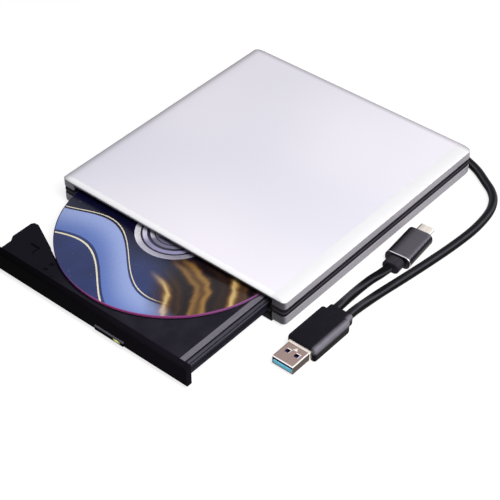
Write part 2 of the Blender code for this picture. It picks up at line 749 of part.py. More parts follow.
def make_case(case, finishes):
    """Build the shells, band, feet and screws."""
    piece("top_cover", top_cover(), finishes["silver"], case)
    piece("bottom_cover", bottom_cover(), finishes["silver"], case)
    piece("mid_frame", mid_frame(), finishes["black"], case)
    for number, (x, y) in enumerate(foot_places(), start=1):
        piece(f"rubber_foot_{number}", rubber_foot(x, y), finishes["rubber"], case, (x, y, 0.0))
    for number, (x, y) in enumerate(screw_places(), start=1):
        piece(f"case_screw_{number}", case_screw(x, y), finishes["steel"], case, (x, y, FOOT_STAND))


# Drive chassis

def chassis_pan():
    """Return the folded steel pan with its back wall and the latch post."""
    outer = CHASSIS_HALF
    inner = CHASSIS_INNER_X
    outline = [
        (-outer, CHASSIS_BOTTOM), (outer, CHASSIS_BOTTOM), (outer, CHASSIS_WALL_TOP),
        (inner, CHASSIS_WALL_TOP), (inner, CHASSIS_FLOOR_TOP), (-inner, CHASSIS_FLOOR_TOP),
        (-inner, CHASSIS_WALL_TOP), (-outer, CHASSIS_WALL_TOP)]
    pan = swept([(x, CHASSIS_FRONT_Y, z) for x, z in outline], (0.0, CHASSIS_LENGTH, 0.0))
    middle_z = CHASSIS_BOTTOM + CHASSIS_SHEET / 2
    back = block(
        (-outer + CHASSIS_SHEET / 2, CHASSIS_BACK_Y - CHASSIS_SHEET, middle_z),
        (outer - CHASSIS_SHEET / 2, CHASSIS_BACK_Y - CHASSIS_SHEET / 8, CHASSIS_WALL_TOP - CHASSIS_SHEET))
    low = plug_bottom() - SEAM_GAP
    window = block(
        (PLUG_LEFT_X - SEAM_GAP, CHASSIS_BACK_Y - 2 * CHASSIS_SHEET, low),
        (PLUG_LEFT_X + PLUG_WIDTH + SEAM_GAP, CHASSIS_BACK_Y + OVERSHOOT,
         low + PLUG_HEIGHT + 2 * SEAM_GAP))
    post = rod((LATCH_POST_X, LATCH_POST_Y, middle_z), (LATCH_POST_X, LATCH_POST_Y, LATCH_POST_TOP),
               LATCH_POST_RADIUS, SMALL_ROUND_STEPS)
    return joined(joined(pan, cut(back, window)), post)


def chassis_lid():
    """Return the folded steel lid whose flanges lap the pan's walls."""
    inner = CHASSIS_HALF + SEAM_GAP
    outer = inner + CHASSIS_SHEET
    top = LID_BOTTOM + CHASSIS_SHEET
    hem = top - LID_FLANGE
    outline = [
        (-outer, hem), (-inner, hem), (-inner, LID_BOTTOM), (inner, LID_BOTTOM), (inner, hem), (outer, hem),
        (outer, top), (-outer, top)]
    return swept([(x, CHASSIS_FRONT_Y, z) for x, z in outline], (0.0, CHASSIS_LENGTH, 0.0))


def rail_guide(side):
    """Return one guide that holds a rail against the pan's wall."""
    low = RAIL_MIDDLE_Z - GUIDE_HEIGHT / 2
    high = RAIL_MIDDLE_Z + GUIDE_HEIGHT / 2
    groove = RAIL_LIP_HEIGHT / 2 + RUNNING_GAP
    web = GUIDE_OUTER_X - GUIDE_WEB
    outline = [
        (GUIDE_INNER_X, low), (GUIDE_OUTER_X, low), (GUIDE_OUTER_X, high), (GUIDE_INNER_X, high),
        (GUIDE_INNER_X, RAIL_MIDDLE_Z + groove), (web, RAIL_MIDDLE_Z + groove),
        (web, RAIL_MIDDLE_Z - groove), (GUIDE_INNER_X, RAIL_MIDDLE_Z - groove)]
    points = [(x * side, GUIDE_FRONT_Y, z) for x, z in outline]
    return swept(points, (0.0, GUIDE_LENGTH, 0.0))


def slide_rail(side):
    """Return one steel rail: an upright web with a lip into the tray and one into the guide."""
    low = RAIL_MIDDLE_Z - RAIL_HEIGHT / 2
    high = RAIL_MIDDLE_Z + RAIL_HEIGHT / 2
    lip_low = RAIL_MIDDLE_Z - RAIL_LIP_HEIGHT / 2
    lip_high = RAIL_MIDDLE_Z + RAIL_LIP_HEIGHT / 2
    tray_tip = RAIL_INNER_X - RAIL_LIP_REACH
    guide_tip = RAIL_WEB_X + RAIL_OUTER_LIP
    outline = [
        (RAIL_INNER_X, low), (RAIL_WEB_X, low), (RAIL_WEB_X, lip_low), (guide_tip, lip_low),
        (guide_tip, lip_high), (RAIL_WEB_X, lip_high), (RAIL_WEB_X, high), (RAIL_INNER_X, high),
        (RAIL_INNER_X, lip_high), (tray_tip, lip_high), (tray_tip, lip_low), (RAIL_INNER_X, lip_low)]
    points = [(x * side, RAIL_FRONT_Y, z) for x, z in outline]
    return swept(points, (0.0, RAIL_LENGTH, 0.0))


def make_chassis(case, finishes):
    """Build the pan, lid, guides and rails."""
    piece("chassis_pan", chassis_pan(), finishes["steel"], case)
    piece("chassis_lid", chassis_lid(), finishes["steel"], case)
    for side, label in ((-1, "left"), (1, "right")):
        piece(f"rail_guide_{label}", rail_guide(side), finishes["black"], case)
        place = (side * RAIL_WEB_X, RAIL_FRONT_Y, 0.0)
        piece(f"slide_rail_{label}", slide_rail(side), finishes["steel"], case, place)


# Boards and connectors

def plug_bottom():
    """Return the height of the drive's rear plug, which stands on the bridge board's level."""
    return BRIDGE_BOTTOM + BOARD_THICKNESS + SEAM_GAP


def bridge_front_y():
    """Return where the bridge board starts behind the chassis."""
    return CHASSIS_BACK_Y + 5 * SEAM_GAP


def bridge_post_places():
    """Return the plan positions of the posts under the bridge board."""
    left = BRIDGE_LEFT_X + BRIDGE_POST_INSET
    right = BRIDGE_LEFT_X + BRIDGE_WIDTH - BRIDGE_POST_INSET
    y = bridge_front_y() + BRIDGE_LENGTH / 2
    return [(left, y), ((left + right) / 2, y), (right, y)]


def make_boards(case, finishes):
    """Build the drive's own board and the bridge board behind it."""
    low = CHASSIS_FLOOR_TOP + SEAM_GAP
    top = low + BOARD_THICKNESS
    right = MAIN_BOARD_LEFT_X + MAIN_BOARD_WIDTH
    back = MAIN_BOARD_FRONT_Y + MAIN_BOARD_LENGTH
    piece("drive_board", block((MAIN_BOARD_LEFT_X, MAIN_BOARD_FRONT_Y, low), (right, back, top)),
          finishes["board"], case)
    chip_x = (MAIN_BOARD_LEFT_X + right) / 2
    chip_y = MAIN_BOARD_FRONT_Y + MAIN_BOARD_LENGTH / 2
    half = MAIN_CHIP_SIZE / 2
    piece("drive_controller", soft_block(
        (chip_x - half, chip_y - half, top + SEAM_GAP),
        (chip_x + half, chip_y + half, top + SEAM_GAP + CHIP_HEIGHT), CHIP_HEIGHT / 4, 1),
        finishes["chip"], case)
    plug_back = CHASSIS_BACK_Y + SEAM_GAP
    piece("drive_plug", block(
        (PLUG_LEFT_X, plug_back - PLUG_LENGTH, plug_bottom()),
        (PLUG_LEFT_X + PLUG_WIDTH, plug_back, plug_bottom() + PLUG_HEIGHT)), finishes["black"], case)
    front = bridge_front_y()
    board_top = BRIDGE_BOTTOM + BOARD_THICKNESS
    piece("bridge_board", block(
        (BRIDGE_LEFT_X, front, BRIDGE_BOTTOM),
        (BRIDGE_LEFT_X + BRIDGE_WIDTH, front + BRIDGE_LENGTH, board_top)), finishes["board"], case)
    socket_front = plug_back + SEAM_GAP
    piece("bridge_socket", block(
        (PLUG_LEFT_X, socket_front, plug_bottom()),
        (PLUG_LEFT_X + PLUG_WIDTH, socket_front + SOCKET_LENGTH, plug_bottom() + PLUG_HEIGHT)),
        finishes["black"], case)
    half = BRIDGE_CHIP_SIZE / 2
    chip_x = BRIDGE_LEFT_X + BRIDGE_WIDTH / 2
    chip_y = front + BRIDGE_LENGTH / 2
    piece("bridge_controller", soft_block(
        (chip_x - half, chip_y - half, board_top + SEAM_GAP),
        (chip_x + half, chip_y + half, board_top + SEAM_GAP + CHIP_HEIGHT), CHIP_HEIGHT / 4, 1),
        finishes["chip"], case)


# Tray

def tray_body():
    """Return the tray's main box, the staircase of ledges along its right side included."""
    outline = [
        (TRAY_LEFT_X, TRAY_UNDERSIDE), (TRAY_RIGHT_X, TRAY_UNDERSIDE), (TRAY_RIGHT_X, SHOULDER_TOP),
        (LEDGE_X, SHOULDER_TOP), (LEDGE_X, LEDGE_TOP), (RIM_OUTER_X, LEDGE_TOP), (RIM_OUTER_X, RIM_TOP),
        (RIM_INNER_X, RIM_TOP), (RIM_INNER_X, DECK_TOP), (TRAY_LEFT_X, DECK_TOP)]
    length = TRAY_LENGTH - TRAY_FRONT_Y
    return swept([(x, TRAY_FRONT_Y, z) for x, z in outline], (0.0, length, 0.0))


def tray_wing():
    """Return the front left wing, which ends in a slanting edge under the disc."""
    low = DECK_TOP - WING_THICKNESS
    inside = TRAY_LEFT_X + TRAY_WALL
    corner = WING_CORNER
    outline = [
        (inside, TRAY_FRONT_Y), (inside, WING_ROOT_Y), (TRAY_LEFT_X, WING_ROOT_Y),
        (WING_LEFT_X + 2 * corner, WING_BACK_Y), (WING_LEFT_X + corner / 2, WING_BACK_Y - corner / 6),
        (WING_LEFT_X, WING_BACK_Y - corner), (WING_LEFT_X, WING_STEP_Y), (WING_NECK_X, WING_NECK_Y),
        (WING_NECK_X, TRAY_FRONT_Y)]
    return swept([(x, y, low) for x, y in outline], (0.0, 0.0, WING_THICKNESS))


def tray_arm():
    """Return the rear left arm that runs on the left rail, with the latch's pivot pin."""
    front = TRAY_LENGTH - ARM_LENGTH
    plate = block(
        (-TRAY_RIGHT_X, front, RECESS_FLOOR - ARM_THICKNESS),
        (TRAY_LEFT_X + TRAY_WALL / 2, TRAY_LENGTH, RECESS_FLOOR))
    shoe = block(
        (-TRAY_RIGHT_X, front, ARM_BLOCK_BOTTOM),
        (-TRAY_RIGHT_X + ARM_BLOCK, TRAY_LENGTH, RECESS_FLOOR - OVERSHOOT))
    pin = rod(
        (LATCH_X, LATCH_Y, LATCH_BOTTOM - SEAM_GAP),
        (LATCH_X, LATCH_Y, RECESS_FLOOR - ARM_THICKNESS / 2), LATCH_PIN_RADIUS, SMALL_ROUND_STEPS)
    return joined(joined(plate, shoe), pin)


def rail_groove(side):
    """Return the cutter for the groove that a rail's inner lip runs in."""
    half = RAIL_LIP_HEIGHT / 2 + RUNNING_GAP
    start = TRAY_FRONT_Y + TRAY_FRONT_WALL
    inner = TRAY_RIGHT_X - RAIL_LIP_REACH
    corners = sorted((side * inner, side * (TRAY_RIGHT_X + OVERSHOOT)))
    return block(
        (corners[0], start, RAIL_MIDDLE_Z - half),
        (corners[1], TRAY_LENGTH + OVERSHOOT, RAIL_MIDDLE_Z + half))


def traverse_place():
    """Return the placing of the slanted traverse on the tray."""
    return Matrix.Translation((SPINDLE_X, SPINDLE_Y, 0.0)) @ Matrix.Rotation(TRAVERSE_SLANT, 4, "Z")


def pickup_window():
    """Return the cutter for the slot that the lens looks through, on the tray."""
    half = HOLDER_WIDTH / 2 + RUNNING_GAP
    end = PICKUP_RADIUS_AT_REST + PICKUP_TRAVEL + HOLDER_LENGTH / 2 + RUNNING_GAP
    slot = block((0.0, -half, DECK_UNDERSIDE - OVERSHOOT), (end, half, DECK_TOP + OVERSHOOT))
    slot.transform(traverse_place())
    return slot


def wing_slot():
    """Return the cutter for the right-angled slot in the wing's top."""
    right = WING_SLOT_X + WING_SLOT_SPAN
    top = WING_SLOT_Y + WING_SLOT_DROP
    width = WING_SLOT_WIDTH
    outline = [
        (WING_SLOT_X, top - width), (right - width, top - width), (right - width, WING_SLOT_Y),
        (right, WING_SLOT_Y), (right, top), (WING_SLOT_X, top)]
    low = DECK_TOP - WING_SLOT_DEPTH
    return swept([(x, y, low) for x, y in outline], (0.0, 0.0, WING_SLOT_DEPTH + OVERSHOOT))


def deck_pocket(y):
    """Return the cutter for one of the square pockets in the deck."""
    low = (DECK_POCKET_X, y, DECK_TOP - DECK_POCKET_DEPTH)
    return block(low, (DECK_POCKET_X + DECK_POCKET_SIZE, y + DECK_POCKET_SIZE, DECK_TOP + OVERSHOOT))


def tray():
    """Return the tray moulding."""
    pip = rod(
        (DECK_PIP_X, DECK_PIP_Y, DECK_TOP - DECK_FLOOR / 2),
        (DECK_PIP_X, DECK_PIP_Y, DECK_TOP + DECK_PIP_HEIGHT), DECK_PIP_RADIUS, SMALL_ROUND_STEPS)
    moulding = joined(tray_body(), tray_wing(), tray_arm(), pip)
    well = rod((SPINDLE_X, SPINDLE_Y, RECESS_FLOOR), (SPINDLE_X, SPINDLE_Y, RIM_TOP + OVERSHOOT),
               DISC_RADIUS + DISC_SURROUND, DISC_STEPS)
    pocket = block(
        (TRAY_LEFT_X + TRAY_WALL, TRAY_FRONT_Y + TRAY_FRONT_WALL, TRAY_UNDERSIDE - OVERSHOOT),
        (TRAY_RIGHT_X - RAIL_LIP_REACH - TRAY_WALL, TRAY_LENGTH - TRAY_WALL, DECK_UNDERSIDE))
    table_hole = rod(
        (SPINDLE_X, SPINDLE_Y, DECK_UNDERSIDE - OVERSHOOT), (SPINDLE_X, SPINDLE_Y, DECK_TOP + OVERSHOOT),
        TABLE_RADIUS + OVERSHOOT)
    stem = BUTTON_STEM_WIDTH / 2 + RUNNING_GAP + SEAM_GAP
    stem_x = button_middle_x()
    stem_z = BUTTON_BOTTOM + BUTTON_STEM_RISE
    stem_hole = block(
        (stem_x - stem, TRAY_FRONT_Y - OVERSHOOT, TRAY_UNDERSIDE - OVERSHOOT),
        (stem_x + stem, TRAY_FRONT_Y + TRAY_FRONT_WALL + OVERSHOOT, stem_z + stem))
    return cut(
        moulding, well, pocket, joined(table_hole, pickup_window()), rail_groove(-1), rail_groove(1),
        stem_hole, wing_slot(), deck_pocket(DECK_POCKET_Y), deck_pocket(DECK_POCKET_Y + DECK_POCKET_STEP))


def tray_under_cover():
    """Return the sheet that closes the tray from below."""
    top = TRAY_UNDERSIDE - SEAM_GAP
    margin = COVER_MARGIN
    outline = round_rectangle(
        (TRAY_RIGHT_X - TRAY_LEFT_X) / 2 - margin, (TRAY_LENGTH - TRAY_FRONT_Y) / 2 - margin,
        2 * margin, top - COVER_SHEET,
        ((TRAY_RIGHT_X + TRAY_LEFT_X) / 2, (TRAY_LENGTH + TRAY_FRONT_Y) / 2), 3)
    return swept(outline, (0.0, 0.0, COVER_SHEET))


def button_middle_x():
    """Return the button's middle across the bezel."""
    return BUTTON_LEFT_X + BUTTON_WIDTH / 2


def bezel():
    """Return the gloss front panel, chamfered along its top, with the button's opening."""
    half = BEZEL_WIDTH / 2
    top = BEZEL_BOTTOM + BEZEL_HEIGHT
    edge = BEZEL_CHAMFER
    outline = [
        (edge, BEZEL_BOTTOM), (BEZEL_THICKNESS, BEZEL_BOTTOM), (BEZEL_THICKNESS, top), (2 * edge, top),
        (edge / 2, top - edge), (0.0, top - 2 * edge), (0.0, BEZEL_BOTTOM + edge)]
    panel = swept([(-half, y, z) for y, z in outline], (BEZEL_WIDTH, 0.0, 0.0))
    mouth = block(
        (BUTTON_LEFT_X - RUNNING_GAP, -OVERSHOOT, BUTTON_BOTTOM - RUNNING_GAP),
        (BUTTON_LEFT_X + BUTTON_WIDTH + RUNNING_GAP, BEZEL_THICKNESS + OVERSHOOT,
         BUTTON_BOTTOM + BUTTON_HEIGHT + RUNNING_GAP))
    return cut(panel, mouth)


def light_corners(margin):
    """Return the corners of the light window in the button, grown by a margin."""
    left = BUTTON_LEFT_X + LIGHT_LEFT
    low = BUTTON_BOTTOM + LIGHT_BOTTOM
    near = (left - margin, -BUTTON_PROUD, low - margin)
    far = (left + LIGHT_WIDTH + margin, LIGHT_DEPTH - BUTTON_PROUD + margin, low + LIGHT_HEIGHT + margin)
    return near, far


def eject_button():
    """Return the eject key with its stem and the pocket for the light window."""
    right = BUTTON_LEFT_X + BUTTON_WIDTH
    top = BUTTON_BOTTOM + BUTTON_HEIGHT
    back = BUTTON_DEPTH - BUTTON_PROUD
    key = soft_block((BUTTON_LEFT_X, -BUTTON_PROUD, BUTTON_BOTTOM), (right, back, top), BUTTON_PROUD / 2)
    half = BUTTON_STEM_WIDTH / 2
    middle_x = button_middle_x()
    middle_z = BUTTON_BOTTOM + BUTTON_STEM_RISE
    stem = block(
        (middle_x - half, back - OVERSHOOT, middle_z - half / 2),
        (middle_x + half, back + BUTTON_STEM_LENGTH, middle_z + half / 2))
    low, high = light_corners(SEAM_GAP)
    return cut(joined(key, stem), block((low[0], low[1] - OVERSHOOT, low[2]), high))


def make_tray(tray_frame, finishes):
    """Build the tray with its bezel, button, cover, front board and latch."""
    piece("tray", tray(), finishes["tray"], tray_frame)
    piece("tray_under_cover", tray_under_cover(), finishes["black"], tray_frame)
    piece("bezel", bezel(), finishes["gloss"], tray_frame)
    key_place = (button_middle_x(), 0.0, BUTTON_BOTTOM + BUTTON_HEIGHT / 2)
    piece("eject_button", eject_button(), finishes["gloss"], tray_frame, key_place)
    low, high = light_corners(0.0)
    window = soft_block(low, high, LIGHT_HEIGHT / 6, 1)
    piece("light_window", window, finishes["light"], tray_frame, key_place)
    top = DECK_UNDERSIDE - SEAM_GAP
    low_z = top - BOARD_THICKNESS
    front = TRAY_FRONT_Y + TRAY_FRONT_WALL + SEAM_GAP
    piece("front_board", block(
        (FRONT_BOARD_LEFT_X, front, low_z),
        (FRONT_BOARD_LEFT_X + FRONT_BOARD_WIDTH, front + FRONT_BOARD_LENGTH, top)),
        finishes["board"], tray_frame)
    switch_front = BUTTON_DEPTH - BUTTON_PROUD + BUTTON_STEM_LENGTH + BUTTON_TRAVEL + SEAM_GAP
    middle = button_middle_x()
    piece("eject_switch", block(
        (middle - SWITCH_WIDTH / 2, switch_front, low_z - SEAM_GAP - SWITCH_HEIGHT),
        (middle + SWITCH_WIDTH / 2, switch_front + SWITCH_LENGTH, low_z - SEAM_GAP)),
        finishes["chip"], tray_frame)
    piece("eject_latch", eject_latch(), finishes["black"], tray_frame, (LATCH_X, LATCH_Y, LATCH_BOTTOM))


def eject_latch():
    """Return the latch lever: an eye on the pivot pin, an arm and a hooked nose."""
    top = LATCH_BOTTOM + LATCH_THICKNESS
    eye = rod((LATCH_X, LATCH_Y, LATCH_BOTTOM), (LATCH_X, LATCH_Y, top), LATCH_EYE_RADIUS)
    half = LATCH_ARM_WIDTH / 2
    tip = LATCH_Y + LATCH_ARM_LENGTH
    nose = LATCH_X - half - LATCH_NOSE
    outline = [
        (LATCH_X - half, LATCH_Y), (LATCH_X + half, LATCH_Y), (LATCH_X + half, tip),
        (LATCH_X - half, tip), (nose, tip - LATCH_NOSE_LENGTH / 2), (nose, tip - LATCH_NOSE_LENGTH),
        (LATCH_X - half, tip - LATCH_NOSE_LENGTH)]
    arm = swept([(x, y, LATCH_BOTTOM) for x, y in outline], (0.0, 0.0, LATCH_THICKNESS))
    bore = rod((LATCH_X, LATCH_Y, LATCH_BOTTOM - OVERSHOOT), (LATCH_X, LATCH_Y, top + OVERSHOOT),
               LATCH_PIN_RADIUS + RUNNING_GAP, SMALL_ROUND_STEPS)
    return cut(joined(eye, arm), bore)


# Traverse: spindle, rods, lead screw and pickup, with x along the pickup's travel

def traverse_frame():
    """Return the steel frame that carries the spindle motor, rods and stepper."""
    low = TRAVERSE_TOP - TRAVERSE_SHEET
    side = ROD_OFFSET + TRAVERSE_MARGIN
    screw_side = SCREW_OFFSET + TRAVERSE_MARGIN
    outline = [
        (-TRAVERSE_BACK, -side), (TRAVERSE_REACH, -side), (TRAVERSE_REACH, screw_side),
        (TAB_INNER, screw_side), (TAB_INNER, ROD_OFFSET), (-TRAVERSE_BACK, ROD_OFFSET)]
    plate = swept([(x, y, low) for x, y in outline], (0.0, 0.0, TRAVERSE_SHEET))
    window = PICKUP_WIDTH / 2 + RUNNING_GAP
    slot = block(
        (TAB_INNER + TRAVERSE_TAB, -window, low - OVERSHOOT),
        (TRAVERSE_REACH - TRAVERSE_TAB - SEAM_GAP, window, TRAVERSE_TOP + OVERSHOOT))
    motor_hole = rod(
        (0.0, 0.0, low - OVERSHOOT), (0.0, 0.0, TRAVERSE_TOP + OVERSHOOT),
        SHAFT_RADIUS + OVERSHOOT, SMALL_ROUND_STEPS)
    plate = cut(plate, slot, motor_hole)
    ear = ROD_RADIUS + OVERSHOOT
    spans = ((-ROD_OFFSET - ear, -ROD_OFFSET + ear), (ROD_OFFSET - ear, screw_side - OVERSHOOT))
    for start in (TAB_INNER, TRAVERSE_REACH - TRAVERSE_TAB):
        for near, far in spans:
            plate = joined(plate, block(
                (start, near, TRAVERSE_TAB_BOTTOM), (start + TRAVERSE_TAB, far, low + TRAVERSE_SHEET / 2)))
    screw_hole = rod(
        (TAB_INNER - OVERSHOOT, SCREW_OFFSET, LEAD_SCREW_Z),
        (TAB_INNER + TRAVERSE_TAB + OVERSHOOT, SCREW_OFFSET, LEAD_SCREW_Z),
        LEAD_SCREW_RADIUS + RUNNING_GAP, SMALL_ROUND_STEPS)
    return cut(plate, screw_hole)


def turntable():
    """Return the spindle's rotor, shaft and disc table as one turned piece."""
    bottom = TABLE_TOP - TABLE_THICKNESS
    rotor_bottom = bottom - ROTOR_HEIGHT
    shaft_end = MOTOR_BOTTOM + MOTOR_HEIGHT / 2
    profile = (
        (0.0, shaft_end), (SHAFT_RADIUS, shaft_end), (SHAFT_RADIUS, rotor_bottom),
        (ROTOR_RADIUS, rotor_bottom), (ROTOR_RADIUS, bottom), (TABLE_RADIUS, bottom),
        (TABLE_RADIUS, TABLE_TOP), (0.0, TABLE_TOP))
    return turned(profile)


def spindle_motor():
    """Return the motor's base with the blind bore for the shaft."""
    top = MOTOR_BOTTOM + MOTOR_HEIGHT
    bore = SHAFT_RADIUS + RUNNING_GAP
    bore_end = MOTOR_BOTTOM + MOTOR_HEIGHT / 2 - RUNNING_GAP
    profile = (
        (0.0, MOTOR_BOTTOM), (MOTOR_RADIUS, MOTOR_BOTTOM), (MOTOR_RADIUS, top), (bore, top),
        (bore, bore_end), (0.0, bore_end))
    return turned(profile)


def disc_hub():
    """Return the centring cone that the disc snaps over."""
    low = TABLE_TOP + SEAM_GAP
    shoulder = DISC_BOTTOM + DISC_THICKNESS
    top = low + HUB_HEIGHT
    profile = (
        (0.0, low), (HUB_RADIUS, low), (HUB_RADIUS, shoulder), (HUB_TOP_RADIUS, top - RUNNING_GAP),
        (HUB_TOP_RADIUS - RUNNING_GAP, top), (0.0, top))
    return turned(profile)


def ring_solid(inner, outer, low, high, steps=ROUND_STEPS):
    """Return a flat ring."""
    return turned(((inner, low), (outer, low), (outer, high), (inner, high)), steps)


def pickup_sled():
    """Return the cast pickup body with its rod ears and the arm to the lead screw."""
    half = PICKUP_LENGTH / 2
    middle = PICKUP_RADIUS_AT_REST
    wide = PICKUP_WIDTH / 2
    body = soft_block(
        (middle - half, -wide, PICKUP_BOTTOM), (middle + half, wide, PICKUP_TOP), RUNNING_GAP, 1)
    ear = PICKUP_EAR_LENGTH / 2
    low = ROD_Z - PICKUP_EAR_HEIGHT / 2
    high = min(ROD_Z + PICKUP_EAR_HEIGHT / 2, TRAVERSE_TOP - TRAVERSE_SHEET - RUNNING_GAP)
    outer = ROD_OFFSET + ROD_RADIUS + OVERSHOOT / 2
    body = joined(body, block((middle - ear, -outer, low), (middle + ear, outer, high)))
    reach = SCREW_OFFSET - LEAD_SCREW_RADIUS - RUNNING_GAP
    body = joined(body, block(
        (middle - ear / 2, wide - OVERSHOOT, low), (middle + ear / 2, reach, LEAD_SCREW_Z)))
    start = (middle - PICKUP_LENGTH, 0.0, ROD_Z)
    end = (middle + PICKUP_LENGTH, 0.0, ROD_Z)
    for side in (-1, 1):
        offset = Vector((0.0, side * ROD_OFFSET, 0.0))
        bore = rod(
            Vector(start) + offset, Vector(end) + offset, ROD_RADIUS + RUNNING_GAP, SMALL_ROUND_STEPS)
        body = cut(body, bore)
    return body


def lens_holder():
    """Return the floating lens frame over the pickup."""
    middle = PICKUP_RADIUS_AT_REST
    top = HOLDER_BOTTOM + HOLDER_HEIGHT
    plate = soft_block(
        (middle - HOLDER_LENGTH / 2, -HOLDER_WIDTH / 2, HOLDER_BOTTOM),
        (middle + HOLDER_LENGTH / 2, HOLDER_WIDTH / 2, top), RUNNING_GAP / 2, 1)
    bore = rod(
        (middle, 0.0, HOLDER_BOTTOM - OVERSHOOT), (middle, 0.0, top + OVERSHOOT), LENS_RADIUS + SEAM_GAP)
    return cut(plate, bore)


def objective_lens():
    """Return the round domed lens."""
    top = HOLDER_BOTTOM + HOLDER_HEIGHT
    profile = (
        (0.0, HOLDER_BOTTOM), (LENS_RADIUS, HOLDER_BOTTOM), (LENS_RADIUS, top),
        (LENS_RADIUS * 0.6, top + LENS_CROWN * 0.7), (0.0, top + LENS_CROWN))
    lens = turned(profile)
    bmesh.ops.translate(lens, verts=lens.verts, vec=(PICKUP_RADIUS_AT_REST, 0.0, 0.0))
    return lens


def make_traverse(traverse, finishes):
    """Build everything that sits on the slanted traverse."""
    piece("traverse_frame", traverse_frame(), finishes["steel"], traverse)
    piece("spindle_motor", spindle_motor(), finishes["steel"], traverse)
    piece("turntable", turntable(), finishes["black"], traverse)
    pad_low = TABLE_TOP + SEAM_GAP
    piece("turntable_pad", ring_solid(PAD_INNER_RADIUS, PAD_RADIUS, pad_low, pad_low + PAD_THICKNESS),
          finishes["rubber"], traverse)
    piece("disc_hub", disc_hub(), finishes["black"], traverse)
    disc_top = DISC_BOTTOM + DISC_THICKNESS
    piece("disc", ring_solid(DISC_HOLE_RADIUS, DISC_RADIUS, DISC_BOTTOM, disc_top, DISC_STEPS),
          finishes["disc"], traverse)
    rod_start = TAB_INNER + TRAVERSE_TAB + SEAM_GAP
    rod_end = TRAVERSE_REACH - TRAVERSE_TAB - SEAM_GAP
    for side, label in ((-1, "inner"), (1, "outer")):
        y = side * ROD_OFFSET
        bar = rod((rod_start, y, ROD_Z), (rod_end, y, ROD_Z), ROD_RADIUS, SMALL_ROUND_STEPS)
        piece(f"guide_rod_{label}", bar, finishes["steel"], traverse)
    motor_end = TAB_INNER - SEAM_GAP
    axis = (motor_end, SCREW_OFFSET, LEAD_SCREW_Z)
    motor = rod((motor_end - STEPPER_LENGTH, SCREW_OFFSET, LEAD_SCREW_Z), axis, STEPPER_RADIUS)
    piece("stepper_motor", motor, finishes["steel"], traverse)
    screw = rod(
        (motor_end + SEAM_GAP, SCREW_OFFSET, LEAD_SCREW_Z), (rod_end, SCREW_OFFSET, LEAD_SCREW_Z),
        LEAD_SCREW_RADIUS, SMALL_ROUND_STEPS)
    piece("lead_screw", screw, finishes["steel"], traverse, axis)
    home = (PICKUP_RADIUS_AT_REST, 0.0, ROD_Z)
    piece("pickup_sled", pickup_sled(), finishes["cast"], traverse, home)
    piece("lens_holder", lens_holder(), finishes["black"], traverse, home)
    piece("objective_lens", objective_lens(), finishes["glass"], traverse, home)


# Cord and plugs

def smooth_route(points):
    """Return evenly spaced points on a smooth curve through a cord's route."""
    places = [Vector(point) for point in points]
    ends = [2 * places[0] - places[1], *places, 2 * places[-1] - places[-2]]
    fine = []
    for before, here, after, beyond in zip(ends, ends[1:], ends[2:], ends[3:]):
        for step in range(12):
            t = step / 12
            fine.append(0.5 * (
                2 * here + (after - before) * t + (2 * before - 5 * here + 4 * after - beyond) * t ** 2
                + (3 * here - before - 3 * after + beyond) * t ** 3))
    fine.append(places[-1])
    total = sum((b - a).length for a, b in zip(fine, fine[1:]))
    count = max(2, round(total / CORD_STEP))
    spaced = [fine[0]]
    walked = 0.0
    for first, second in zip(fine, fine[1:]):
        length = (second - first).length
        while len(spaced) < count and walked + length >= total * len(spaced) / count:
            share = (total * len(spaced) / count - walked) / length
            spaced.append(first.lerp(second, share))
        walked += length
    spaced.append(fine[-1])
    return spaced


def cord(name, route, material, parent):
    """Make a free cord as a bevelled curve."""
    curve = bpy.data.curves.new(name, "CURVE")
    curve.dimensions = "3D"
    curve.bevel_depth = CORD_RADIUS
    curve.bevel_resolution = CORD_RING_STEPS
    curve.use_fill_caps = True
    points = smooth_route(route)
    spline = curve.splines.new("POLY")
    spline.points.add(len(points) - 1)
    for target, point in zip(spline.points, points):
        target.co = (*point, 1.0)
    curve.materials.append(material)
    made = bpy.data.objects.new(name, curve)
    bpy.context.collection.objects.link(made)
    made.parent = parent
    return made


def cord_gland():
    """Return the rubber gland that the cord leaves the back wall through."""
    inner_face = -BAND_INSET - BAND_WALL - SEAM_GAP
    profile = (
        (0.0, inner_face - GLAND_FLANGE), (GLAND_FLANGE_RADIUS, inner_face - GLAND_FLANGE),
        (GLAND_FLANGE_RADIUS, inner_face), (GLAND_NECK_RADIUS, inner_face), (GLAND_NECK_RADIUS, SEAM_GAP),
        (GLAND_FLANGE_RADIUS, SEAM_GAP), (GLAND_FLANGE_RADIUS - SEAM_GAP, GLAND_PROUD), (0.0, GLAND_PROUD))
    gland = turned(profile)
    lay = Matrix.Rotation(math.radians(-90.0), 4, "X")
    gland.transform(Matrix.Translation((GLAND_X, 0.0, GLAND_Z)) @ lay)
    return gland


def plug_a_body():
    """Return the wide plug's moulded grip with its stepped neck."""
    half = PLUG_A_BODY_WIDTH / 2
    grip = soft_block(
        (-half, 0.0, 0.0), (half, PLUG_A_BODY_LENGTH, PLUG_A_BODY_HEIGHT), PLUG_A_BODY_EDGE)
    neck_half = PLUG_A_NECK_WIDTH / 2
    low = PLUG_A_AXIS_Z - PLUG_A_NECK_HEIGHT / 2
    neck = soft_block(
        (-neck_half, PLUG_A_BODY_LENGTH - 2 * PLUG_A_BODY_EDGE, low),
        (neck_half, PLUG_A_BODY_LENGTH + PLUG_A_NECK_LENGTH, low + PLUG_A_NECK_HEIGHT), PLUG_A_BODY_EDGE)
    return joined(grip, neck)


